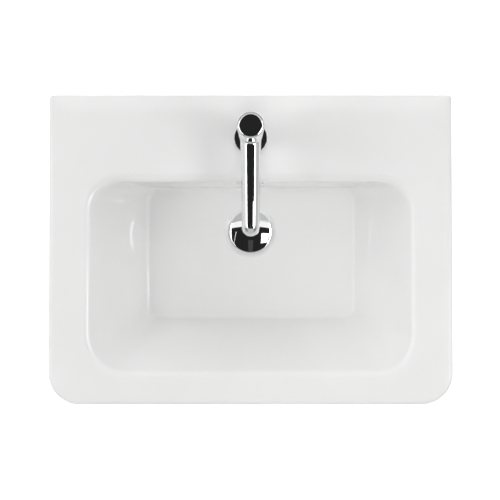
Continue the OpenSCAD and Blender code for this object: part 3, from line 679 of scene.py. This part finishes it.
    def blocks(self):
        """The wall plate, its ribs and the overflow channel's outside, which the shell is joined with."""
        s = self.s
        back = self.back
        soft = 3 * MM
        top = RIM_Z - s.deck + MERGE
        made = [block("wall_plate", (-s.plate_width / 2, -s.plate, RIM_Z - s.plate_drop),
                      (s.plate_width / 2, 0, top), soft)]
        rib_back = back - s.shell / 2
        for side in (-1, 1):
            for x, height in ((s.rib_spacing / 2, s.rib_height),
                              ((s.plate_width - s.rib) / 2, s.rib_height / 2)):
                made.append(block("rib", (side * x - s.rib / 2, rib_back, RIM_Z - s.deck - height),
                                  (side * x + s.rib / 2, MERGE - s.plate, top), soft))
        half = s.slot_width / 2 + s.channel_wall
        low = RIM_Z - self.channel_low() - s.channel_wall
        made.append(block("channel_back", (-half, -s.bowl_rear - s.rim, low),
                          (half, back + s.channel + s.channel_wall, top), soft))
        made.append(block("channel_foot", (-half, WASTE_Y, low),
                          (half, -s.bowl_rear, RIM_Z - s.bowl_depth - MERGE), soft))
        return made

    def channel_low(self):
        """Depth of the overflow channel's lower face."""
        return self.floor_drop + self.s.shell - MERGE + self.s.channel

    def cutters(self):
        """What is cut out of the basin: the tap hole, the bolt holes and the overflow."""
        s = self.s
        past, below_deck, soft = 2 * MM, 10 * MM, 2 * MM
        back = self.back
        half = s.slot_width / 2
        low = RIM_Z - self.channel_low()
        made = [rod("tap_hole", (0, TAP_Y, RIM_Z - s.deck - below_deck), (0, TAP_Y, RIM_Z + past),
                    s.tap_hole)]
        spacing = MOUNTS["wall_bolts"]["dims"]["spacing_x_mm"] * MM
        for side in (-1, 1):
            made.append(rod("bolt_hole", (side * spacing / 2, -s.plate - past, 0),
                            (side * spacing / 2, past, 0), s.bolt_hole, 64))
        made.append(block("channel_down", (-half, back, low),
                          (half, back + s.channel, RIM_Z - s.slot_drop + s.slot_height / 2), soft))
        made.append(block("channel_along", (-half, WASTE_Y, low),
                          (half, back + s.channel / 2, low + s.channel), soft))
        made.append(self.slot(back + s.channel / 2, -s.bowl_rear - s.rim - s.foot - s.shell))
        made.append(rod("waste_hole", (0, WASTE_Y, BASIN_LOW.z - past),
                        (0, WASTE_Y, low + s.channel + s.shell / 2), s.waste_hole, 96))
        return made

    def slot(self, rear, front):
        """The overflow slot's cutter, round at both ends."""
        s = self.s
        radius = s.slot_height / 2
        middle = s.slot_width / 2 - radius
        ends = [(middle, -90), (-middle, 90)]
        plan = [(x + radius * math.cos(math.radians(start + a)), radius * math.sin(math.radians(start + a)))
                for x, start in ends for a in range(0, 181, 10)]
        rings = [[(x, y, RIM_Z - s.slot_drop + z) for x, z in plan] for y in (rear, front)]
        return loft("slot", rings, False)


def faces_out(piece):
    """Turns a closed mesh's faces outwards."""
    shape = bmesh.new()
    shape.from_mesh(piece.data)
    bmesh.ops.recalc_face_normals(shape, faces=shape.faces)
    shape.to_mesh(piece.data)
    shape.free()
    return piece


class WASHBASIN_OT_basin(bpy.types.Operator):
    """Makes the glazed basin"""
    bl_idname = "washbasin.basin"
    bl_label = "Glazed basin"

    def execute(self, context):
        basin = Basin(shape_of("basin"))
        piece = faces_out(loft("glazed_basin", basin.top_rings() + basin.under_rings(), True))
        solid_with(piece, [faces_out(other) for other in basin.blocks()], "UNION")
        solid_with(piece, [faces_out(other) for other in basin.cutters()], "DIFFERENCE")
        dress(piece, "glaze", "root", ["basin"], math.radians(40))
        return {"FINISHED"}


def smooth_join(first, second, size):
    """The union of two fields with a soft blend of that size between them."""
    near = np.maximum(size - np.abs(first - second), 0) / size
    return np.minimum(first, second) - near ** 2 * size / 4


class TapField:
    """The tap's casting as a field that is negative inside it."""

    def __init__(self, sizes):
        self.s = sizes
        self.origin = np.array((0, TAP_Y, RIM_Z))
        self.way = np.array((0, -math.cos(sizes.slope), -math.sin(sizes.slope)))
        self.up = np.array((0, -math.sin(sizes.slope), math.cos(sizes.slope)))
        self.root = self.origin + (0, 0, sizes.root_height)
        self.straight = (sizes.reach - sizes.bend * (1 - math.sin(sizes.slope))) / math.cos(sizes.slope)
        self.hub = self.root + self.way * self.straight - self.up * sizes.bend
        spout_low = sizes.root_height - sizes.reach * math.tan(sizes.slope) - sizes.tip
        self.outlet_low = spout_low - sizes.outlet_drop

    def spout(self, points):
        """The tapered tube and its bend, down to the level of the bend's hub."""
        s = self.s
        behind = 4 * MM
        from_root = points - self.root
        along = from_root @ self.way
        off = np.linalg.norm(from_root - along[..., None] * self.way, axis=-1)
        tube = off - (s.root + (s.tip - s.root) * np.clip(along / self.straight, 0, 1))
        tube = np.maximum(tube, -along - behind)
        from_hub = points - self.hub
        bend = np.hypot(np.hypot(from_hub[..., 1], from_hub[..., 2]) - s.bend, points[..., 0]) - s.tip
        bend = np.where(from_hub[..., 2] >= 0, bend, s.tip)
        return np.where(along <= self.straight, tube, bend)

    def __call__(self, points):
        s = self.s
        overlap, spare, soft = 0.3 * MM, 3 * MM, 0.8 * MM
        near = points - self.origin
        column = np.hypot(near[..., 0], near[..., 1]) - s.column
        outlet = np.hypot(near[..., 0], near[..., 1] + s.reach) - s.tip
        outlet = np.maximum(outlet, points[..., 2] - self.hub[2] - overlap)
        outlet = np.maximum(outlet, self.outlet_low - spare - near[..., 2])
        spout = self.spout(points)
        behind = points[..., 1] > self.hub[1]
        spout = np.where(behind, smooth_join(spout, outlet, soft), np.minimum(spout, outlet))
        return smooth_join(column, spout, s.blend)

    def slope_at(self, points):
        """The field's gradient."""
        step = 0.02 * MM
        sides = [(self(points + np.eye(3)[k] * step) - self(points - np.eye(3)[k] * step)) / (2 * step)
                 for k in range(3)]
        return np.stack(sides, axis=-1)


def surface_net(name, field, low, high, step):
    """A mesh of quads on the surface where a field is 0, one point in each cell that it crosses."""
    rounds, least_slope = 6, 0.05
    counts = [int(math.ceil((high[k] - low[k]) / step)) + 1 for k in range(3)]
    axes = [low[k] + step * np.arange(counts[k]) for k in range(3)]
    grid = np.stack(np.meshgrid(*axes, indexing="ij"), axis=-1)
    inside = field(grid) < 0
    cells = np.zeros([c - 1 for c in counts], int)
    for dx, dy, dz in np.ndindex(2, 2, 2):
        cells += inside[dx:counts[0] - 1 + dx, dy:counts[1] - 1 + dy, dz:counts[2] - 1 + dz]
    crossed = (cells > 0) & (cells < 8)
    index = -np.ones(crossed.shape, int)
    index[crossed] = np.arange(crossed.sum())
    points = np.argwhere(crossed) * step + np.array(low) + step / 2
    for _ in range(rounds):
        slope = field.slope_at(points)
        steep = np.maximum((slope ** 2).sum(-1), least_slope)[:, None]
        points = points - field(points)[:, None] * slope / steep
    faces = []
    for axis in range(3):
        first = inside.take(range(counts[axis] - 1), axis)
        second = inside.take(range(1, counts[axis]), axis)
        across, up = [k for k in range(3) if k != axis]
        for cell in np.argwhere(first != second):
            if cell[across] < 1 or cell[up] < 1:
                continue
            if cell[across] >= counts[across] - 1 or cell[up] >= counts[up] - 1:
                continue
            around = []
            for da, du in ((-1, -1), (0, -1), (0, 0), (-1, 0)):
                other = cell.copy()
                other[across] += da
                other[up] += du
                around.append(index[tuple(other)])
            if min(around) >= 0:
                faces.append(around)
    return new_piece(name, points, faces)


def true_normals(piece, field, limit=math.radians(25)):
    """Shades the faces that lie on a field's surface by the field, and leaves the other faces flat."""
    near, least_slope = 0.02 * MM, 1e-9
    mesh = piece.data
    count = len(mesh.loops)
    corners = np.zeros(count, int)
    mesh.loops.foreach_get("vertex_index", corners)
    points = np.zeros(len(mesh.vertices) * 3)
    mesh.vertices.foreach_get("co", points)
    points = points.reshape(-1, 3)[corners]
    mesh.update()
    plain = np.zeros(count * 3)
    mesh.corner_normals.foreach_get("vector", plain)
    plain = plain.reshape(-1, 3)
    flat = np.zeros((count, 3))
    for face in mesh.polygons:
        flat[face.loop_start:face.loop_start + face.loop_total] = face.normal
    slope = field.slope_at(points)
    slope /= np.maximum(np.linalg.norm(slope, axis=1), least_slope)[:, None]
    on_it = (np.abs(field(points)) < near) & ((slope * flat).sum(1) > math.cos(limit))
    mesh.normals_split_custom_set(np.where(on_it[:, None], slope, plain).tolist())


class WASHBASIN_OT_tap(bpy.types.Operator):
    """Makes the tap's casting and its rosette"""
    bl_idname = "washbasin.tap"
    bl_label = "Tap and rosette"

    def execute(self, context):
        sizes = shape_of("tap")
        field = TapField(sizes)
        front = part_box("tap_body")[0].y
        spare, past, cell = 4 * MM, 3 * MM, 0.95 * MM
        low = (-sizes.column - spare, front - spare, RIM_Z - past)
        high = (sizes.column + spare, TAP_Y + sizes.column + spare, RIM_Z + sizes.column_top + past)
        piece = surface_net("tap_casting", field, low, high, cell)
        self.trim(piece, RIM_Z + sizes.column_top, RIM_Z + sizes.column_foot, RIM_Z + field.outlet_low)
        faces_out(piece)
        solid_with(piece, self.bores(sizes, field), "DIFFERENCE")
        dress(piece, "chrome", "root", ["tap_body"])
        true_normals(piece, field)
        self.rosette()
        return {"FINISHED"}

    def trim(self, piece, top, foot, outlet):
        """Cuts the casting flat at its top, its foot and its outlet, and closes the cuts."""
        outlet_rear, outlet_top = TAP_Y - 50 * MM, outlet + 8 * MM
        shape = bmesh.new()
        shape.from_mesh(piece.data)
        for height, way in ((top, 1), (foot, -1)):
            self.cut(shape, shape.verts[:] + shape.edges[:] + shape.faces[:], height, way)
        faces = [face for face in shape.faces
                 if face.calc_center_median().y < outlet_rear and face.calc_center_median().z < outlet_top]
        near = set(faces)
        verts = [vert for vert in shape.verts if near.intersection(vert.link_faces)]
        edges = [edge for edge in shape.edges if near.intersection(edge.link_faces)]
        self.cut(shape, verts + edges + faces, outlet, -1)
        shape.to_mesh(piece.data)
        shape.free()

    def cut(self, shape, geom, height, way):
        """Cuts part of a shape at a height, clears the side that way points to and closes the hole."""
        made = bmesh.ops.bisect_plane(shape, geom=geom, plane_co=(0, 0, height), plane_no=(0, 0, way),
                                      clear_outer=True, dist=1e-7)
        edges = [item for item in made["geom_cut"] if isinstance(item, bmesh.types.BMEdge)]
        bmesh.ops.holes_fill(shape, edges=[edge for edge in edges if edge.is_boundary], sides=0)

    def bores(self, sizes, field):
        """The cartridge's bore, the hose inlets, the stud's hole and the outlet's bore."""
        past, gap = 1 * MM, 0.05 * MM
        above = RIM_Z + sizes.column_top + past
        foot = RIM_Z + sizes.column_foot
        outlet_y = TAP_Y - sizes.reach
        stud_low, stud_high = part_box("fixing_stud")
        stud_y = (stud_low.y + stud_high.y) / 2
        aerator_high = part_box("aerator_washer")[1]
        made = [rod(name, (0, TAP_Y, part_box(node)[0].z), (0, TAP_Y, above), radius_of(node) + gap)
                for name, node in (("cartridge_bore", "cartridge_housing"), ("nut_bore", "cartridge_nut"))]
        for name in ("left_inlet", "right_inlet"):
            x, y, _ = MOUNTS[name]["pos_m"]
            dims = MOUNTS[name]["dims"]
            made.append(rod(name, (x, y, foot - past), (x, y, foot + dims["length_mm"] * MM),
                            dims["r_mm"] * MM, 48))
        made.append(rod("stud_bore", (0, stud_y, foot - past), (0, stud_y, stud_high.z + past),
                        radius_of("fixing_stud") + gap, 48))
        made.append(rod("outlet_bore", (0, outlet_y, RIM_Z + field.outlet_low - past),
                        (0, outlet_y, aerator_high.z), aerator_high.x + 3 * gap))
        return [faces_out(other) for other in made]

    def rosette(self):
        """The round plate at the column's foot, with a soft upper edge."""
        low, high = ROSETTE_LOW.z - RIM_Z, ROSETTE_HIGH.z - RIM_Z
        outer = radius_of("base_flange")
        inner = shape_of("tap").column + 0.05 * MM
        seal = radius_of("base_gasket") + 0.3 * MM
        soft, seal_top = 0.4 * MM, 2 * MM
        profile = [(inner, high), (inner, seal_top), (seal, seal_top), (seal, low), (outer, low)]
        profile += arc(outer - soft, high - soft, soft, 0, 90, 10)
        piece = faces_out(lathe("rosette", profile, (0, TAP_Y, RIM_Z)))
        dress(piece, "chrome", "root", ["base_flange"])


class WASHBASIN_OT_handle(bpy.types.Operator):
    """Makes the tap's round handle"""
    bl_idname = "washbasin.handle"
    bl_label = "Handle"

    def execute(self, context):
        sizes = shape_of("tap")
        outer, edge = radius_of("handle"), sizes.handle_edge
        inner = outer - sizes.skirt
        low, top = HANDLE_LOW.z - RIM_Z, HANDLE_HIGH.z - RIM_Z
        foot = top - edge
        roof = sizes.column_top + 9 * MM
        stem = radius_of("cartridge_lever") + 0.05 * MM
        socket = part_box("cartridge_lever")[1].z - RIM_Z + 0.3 * MM
        ring_step = 2.4 * MM
        side_steps, edge_steps = 6, 20
        profile = [(0, socket), (stem, socket), (stem, roof), (inner, roof), (inner, low), (outer, low)]
        profile += [(outer, low + (foot - low) * k / side_steps) for k in range(1, side_steps)]
        profile += arc(outer - edge, foot, edge, 0, 90, edge_steps)
        profile += [(outer - edge - ring_step * k, top) for k in range(1, 4)] + [(0, top)]
        piece = faces_out(lathe("tap_handle", profile, (0, TAP_Y, RIM_Z)))
        solid_with(piece, self.cutters(sizes, outer, low), "DIFFERENCE")
        dress(piece, "handle_chrome", "mixer_handle", ["handle"], math.radians(20))
        return {"FINISHED"}

    def cutters(self, sizes, outer, low):
        """The slanted cut of the skirt and the small hole at the back for the plug."""
        plug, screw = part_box("index_plug"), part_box("grub_screw")
        height = (plug[0].z + plug[1].z) / 2
        under = block("skirt_cut", (-2 * outer, -2 * outer, -2 * outer), (2 * outer, 4 * outer, 0))
        turn = Matrix.Rotation(sizes.tilt, 4, "X")
        under.data.transform(Matrix.Translation((0, TAP_Y - outer, RIM_Z + low)) @ turn)
        made = [under,
                rod("plug_hole", (0, plug[0].y, height), (0, TAP_Y + 2 * outer, height),
                    (plug[1].z - plug[0].z) / 2 + 0.01 * MM, 64),
                rod("screw_hole", (0, TAP_Y, height), (0, plug[1].y, height),
                    (screw[1].z - screw[0].z) / 2 + 0.05 * MM, 48)]
        return [faces_out(other) for other in made]


class WASHBASIN_OT_waste(bpy.types.Operator):
    """Makes the waste's domed cap"""
    bl_idname = "washbasin.waste"
    bl_label = "Waste cap"

    def execute(self, context):
        radius, top = radius_of("waste_cap"), CAP_HIGH.z - CAP_LOW.z
        lip, wall, hub, rod_hole, soft = 2 * MM, 2.5 * MM, 19 * MM, 3.05 * MM, 0.5 * MM
        steps = 40
        dome_share = 0.985
        rise = top - lip
        roof = rise / 2 + lip
        sphere = (radius ** 2 + rise ** 2) / (2 * rise)
        spread = math.asin(radius / sphere) * dome_share
        profile = [(0, roof), (rod_hole, roof), (rod_hole, 0), (hub, 0), (hub, lip),
                   (radius_of("cap_seal"), lip), (radius - wall, lip), (radius - wall, 0)]
        profile += arc(radius - soft, soft, soft, -90, 0, 5) + [(radius, lip - 0.2 * MM)]
        profile += [(sphere * math.sin(turn), top - sphere * (1 - math.cos(turn)))
                    for turn in (spread * (1 - k / steps) for k in range(steps))]
        piece = faces_out(lathe("waste_dome", profile + [(0, top)], (0, WASTE_Y, CAP_LOW.z)))
        dress(piece, "cap_chrome", "waste_plug", ["waste_cap"])
        return {"FINISHED"}


class WASHBASIN_OT_fittings(bpy.types.Operator):
    """Gives every piece of the frame that stays its finish"""
    bl_idname = "washbasin.fittings"
    bl_label = "Fittings"

    def execute(self, context):
        slots = {part["node"]: part["material_slot"] for part in frame["record"]["subparts"]}
        for name, piece in frame["nodes"].items():
            if piece.hide_render:
                continue
            piece.data.materials.clear()
            piece.data.materials.append(finish_of(slots[name]))
        return {"FINISHED"}


def soft_light(name, place, target, width, height, radiance):
    """An area lamp of that brightness, which faces a point."""
    data = bpy.data.lights.new(name, "AREA")
    data.shape = "RECTANGLE"
    data.size, data.size_y = width, height
    data.energy = radiance * math.pi * width * height
    lamp = bpy.data.objects.new(name, data)
    bpy.context.scene.collection.objects.link(lamp)
    lamp.location = place
    lamp.rotation_mode = "QUATERNION"
    lamp.rotation_quaternion = (Vector(target) - Vector(place)).to_track_quat("-Z", "Y")
    lamp.visible_camera = False
    return lamp


# The place of each panel, its x, its y and its height above the rim, and its brightness
PANELS = {
    "left_low": (-1.8, -0.25, 0.45, 0.95),
    "left_middle": (-1.6, -0.25, 1.1, 3.1),
    "right_low": (1.8, -0.25, 0.45, 0.5),
    "right_high": (1.0, -0.25, 1.6, 1.1),
    "rear_low": (0, 1.6, 0.5, 3.0),
    "rear_middle": (0, 1.2, 1.3, 1.35),
    "front_middle": (0, -1.6, 1.3, 2.35),
}

# The brightness of each even card
CARD_GLOWS = {
    "ceiling_card": 0.02,
    "boom_card": 0.065,
    "rear_band": 1.1,
    "rear_card": 0.44,
    "right_band": 11.0,
    "right_card": 0.70,
    "left_band": 7.0,
    "left_card_0": 1.3,
    "left_card_1": 1.0,
    "front_card": 0.60,
}


def level(x_low, x_high, y_low, y_high, height):
    """The corners of a level rectangle."""
    plan = ((x_low, y_low), (x_high, y_low), (x_high, y_high), (x_low, y_high))
    return [(x, y, height) for x, y in plan]


def card(name, corners, faces=((0, 1, 2, 3),), glow=None):
    """A card that only reflections show. glow makes the shader of one that isn't even."""
    piece = new_piece(name, corners, faces)
    paper = bpy.data.materials.new(name)
    graph = Graph(paper)
    graph.end_in(glow(graph) if glow else graph.glow(CARD_GLOWS[name]))
    piece.data.materials.append(paper)
    piece.visible_camera = False
    piece.visible_diffuse = False
    piece.visible_shadow = False
    piece.visible_transmission = False
    piece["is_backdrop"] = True


class WASHBASIN_OT_stage(bpy.types.Operator):
    """Makes the camera, the floor and the light"""
    bl_idname = "washbasin.stage"
    bl_label = "Studio"

    def execute(self, context):
        studio = shape_of("studio")
        self.camera(studio)
        self.world(studio)
        self.floor(studio)
        self.lamps(studio)
        self.cards()
        context.scene.view_settings.view_transform = "Standard"
        return {"FINISHED"}

    def camera(self, studio):
        """A camera high above the rim, which looks almost straight down."""
        film_width = 36
        data = bpy.data.cameras.new("camera")
        data.lens = studio.lens
        data.sensor_width = film_width
        camera = bpy.data.objects.new("camera", data)
        bpy.context.scene.collection.objects.link(camera)
        lean = studio.camera_height * math.tan(studio.camera_tilt)
        camera.location = (studio.camera_side, -studio.camera_aim - lean, RIM_Z + studio.camera_height)
        camera.rotation_euler = (studio.camera_tilt, 0, 0)
        bpy.context.scene.camera = camera

    def world(self, studio):
        """Even light from all round. What the camera and the reflections see is white."""
        world = bpy.data.worlds.new("studio")
        bpy.context.scene.world = world
        graph = Graph(world)
        fill, white = [graph.node("ShaderNodeBackground", inputs={"Color": (1, 1, 1, 1), "Strength": much})
                       for much in (studio.fill, 1.0)]
        graph.node("ShaderNodeOutputWorld", inputs={"Surface": graph.blend(self.seen(graph), fill, white)})

    def seen(self, graph):
        """1 for rays from the camera, from a reflection or through glass, and else 0."""
        camera = graph.node("ShaderNodeLightPath", output="Is Camera Ray")
        glossy = graph.node("ShaderNodeLightPath", output="Is Glossy Ray")
        through = graph.node("ShaderNodeLightPath", output="Is Transmission Ray")
        return graph.node("ShaderNodeClamp", inputs={"Value": camera + glossy + through})

    def floor(self, studio):
        """A pale floor under the object. A glow makes it white to the camera, and it keeps the shadow."""
        size, pale, below = 7.0, 0.8, 2 * MM
        corners = level(-size, size, -size, size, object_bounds()[0].z - below)
        piece = new_piece("floor", corners, [(0, 1, 2, 3)])
        floor = bpy.data.materials.new("floor")
        graph = Graph(floor)
        matt = graph.node("ShaderNodeBsdfDiffuse", inputs={"Color": (pale, pale, pale, 1)})
        lit = graph.node("ShaderNodeAddShader", inputs={0: matt, 1: graph.glow(1 - pale * studio.fill)})
        graph.end_in(graph.blend(self.seen(graph), matt, lit))
        piece.data.materials.append(floor)
        piece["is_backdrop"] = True

    def lamps(self, studio):
        """The softbox and the strip, which show in the glaze and the chrome, and panels that don't."""
        box_x, box_y, box_up, box_width, box_depth = 0.95, -0.56, 1.2, 0.58, 0.62
        strip_x, strip_y, strip_up, strip_width, strip_depth = -0.715, -0.465, 0.77, 0.014, 0.645
        strip_turn = math.radians(-19)
        soft_light("right_softbox", (box_x, box_y, RIM_Z + box_up), (box_x, box_y, RIM_Z),
                   box_width, box_depth, studio.key)
        strip = soft_light("left_strip", (strip_x, strip_y, RIM_Z + strip_up), (strip_x, strip_y, RIM_Z),
                           strip_width, strip_depth, studio.strip)
        strip.rotation_quaternion = Quaternion((0, 0, 1), strip_turn) @ strip.rotation_quaternion
        middle = (0, (BASIN_LOW.y + BASIN_HIGH.y) / 2, RIM_Z)
        for name, (x, y, height, brightness) in PANELS.items():
            panel = soft_light(name, (x, y, RIM_Z + height), middle, 1, 1, brightness * studio.panel)
            panel.visible_glossy = False

    def cards(self):
        """What the chrome reflects: a dark ceiling, a white band behind it and walls of different greys."""
        top, foot, far = RIM_Z + 4.0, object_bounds()[0].z, 5.7
        left_side, left, right, right_side = -5.1, -4.5, 4.3, 5.4
        front, rear, band_rear = -5.1, 0.85, 2.15
        boom, boom_front, boom_rear, boom_top = 0.45, -4.6, -1.5, top - 0.1
        card("ceiling_card", level(left, right, front, rear, top))
        card("rear_band", level(left, right, rear, band_rear, top))
        card("rear_card", [(left, band_rear, top), (right, band_rear, top),
                           (far, far, foot), (-far, far, foot)])
        card("right_band", level(right, right_side, front, band_rear, top))
        card("right_card", [(right_side, front, top), (far, -far, foot), (far, far, foot),
                            (right_side, band_rear, top)])
        card("left_band", level(left_side, left, front, band_rear, top))
        front_edge = Vector((left_side, front, top)), Vector((-far, -far, foot))
        rear_edge = Vector((left_side, band_rear, top)), Vector((-far, far, foot))
        for index, (begin, end) in enumerate(((0, 0.5), (0.5, 1))):
            ways = ((front_edge, begin), (front_edge, end), (rear_edge, end), (rear_edge, begin))
            card("left_card_%d" % index, [high.lerp(low, part) for (high, low), part in ways])
        card("front_card", [(left, front, top), (right, front, top), (far, -far, foot), (-far, -far, foot)])
        card("boom_card", level(-boom, boom, boom_front, boom_rear, boom_top))
        self.foot_ring(foot)

    def foot_ring(self, foot):
        """A low ring of card round the object, which keeps the bright floor out of the chrome."""
        half_x, half_y, middle_y, high = 0.75, 0.6, -0.25, RIM_Z + 0.35
        bright, grey, dark = 0.8, 0.58, 0.27
        bright_to, grey_from = -0.7, -0.2
        between_from, between_to = 0.4, 1.0
        count = 64
        points = []
        for turn in (math.tau * k / count for k in range(count)):
            x, y = half_x * math.cos(turn), middle_y + half_y * math.sin(turn)
            points += [(x, y, foot), (x, y, high)]
        faces = [[(2 * k + corner) % (2 * count) for corner in (0, 1, 3, 2)] for k in range(count)]

        def glow(graph):
            """Bright at the left, grey at the other sides and dark between them."""
            x = graph.node("ShaderNodeSeparateXYZ", inputs={0: graph.place()}, output="X")
            y = graph.node("ShaderNodeSeparateXYZ", inputs={0: graph.place()}, output="Y") - middle_y
            between = x * y * (2 / (half_x * half_y))
            side = graph.blend(graph.band(x, bright_to, grey_from), graph.glow(bright), graph.glow(grey))
            corner = graph.band(between * between, between_from, between_to)
            return graph.blend(corner, side, graph.glow(dark))

        card("foot_ring", points, faces, glow)


class WASHBASIN_PT_pieces(bpy.types.Panel):
    """Lists the pieces and their sizes"""
    bl_label = "Washbasin"
    bl_idname = "WASHBASIN_PT_pieces"
    bl_space_type = "VIEW_3D"
    bl_region_type = "UI"
    bl_category = "Washbasin"

    def draw(self, context):
        for operator in OPERATORS:
            self.layout.operator(operator.bl_idname)
        for name, group in GROUPS.items():
            box = self.layout.box()
            box.label(text=name.capitalize())
            for item in group.__annotations__:
                box.prop(shape_of(name), item)


GROUPS = {"basin": BasinSizes, "tap": TapSizes, "finishes": Finishes, "studio": Studio}
OPERATORS = (WASHBASIN_OT_basin, WASHBASIN_OT_tap, WASHBASIN_OT_handle, WASHBASIN_OT_waste,
             WASHBASIN_OT_fittings, WASHBASIN_OT_stage)
CLASSES = (*GROUPS.values(), *OPERATORS, WASHBASIN_PT_pieces)


def register():
    for item in CLASSES:
        bpy.utils.register_class(item)
    for name, group in GROUPS.items():
        setattr(bpy.types.Scene, "washbasin_" + name, PointerProperty(type=group))


def unregister():
    for name in GROUPS:
        delattr(bpy.types.Scene, "washbasin_" + name)
    for item in reversed(CLASSES):
        bpy.utils.unregister_class(item)


def main():
    register()
    bpy.ops.washbasin.basin()
    bpy.ops.washbasin.tap()
    bpy.ops.washbasin.handle()
    bpy.ops.washbasin.waste()
    bpy.ops.washbasin.fittings()
    bpy.ops.washbasin.stage()


if __name__ == "__main__":
    main()
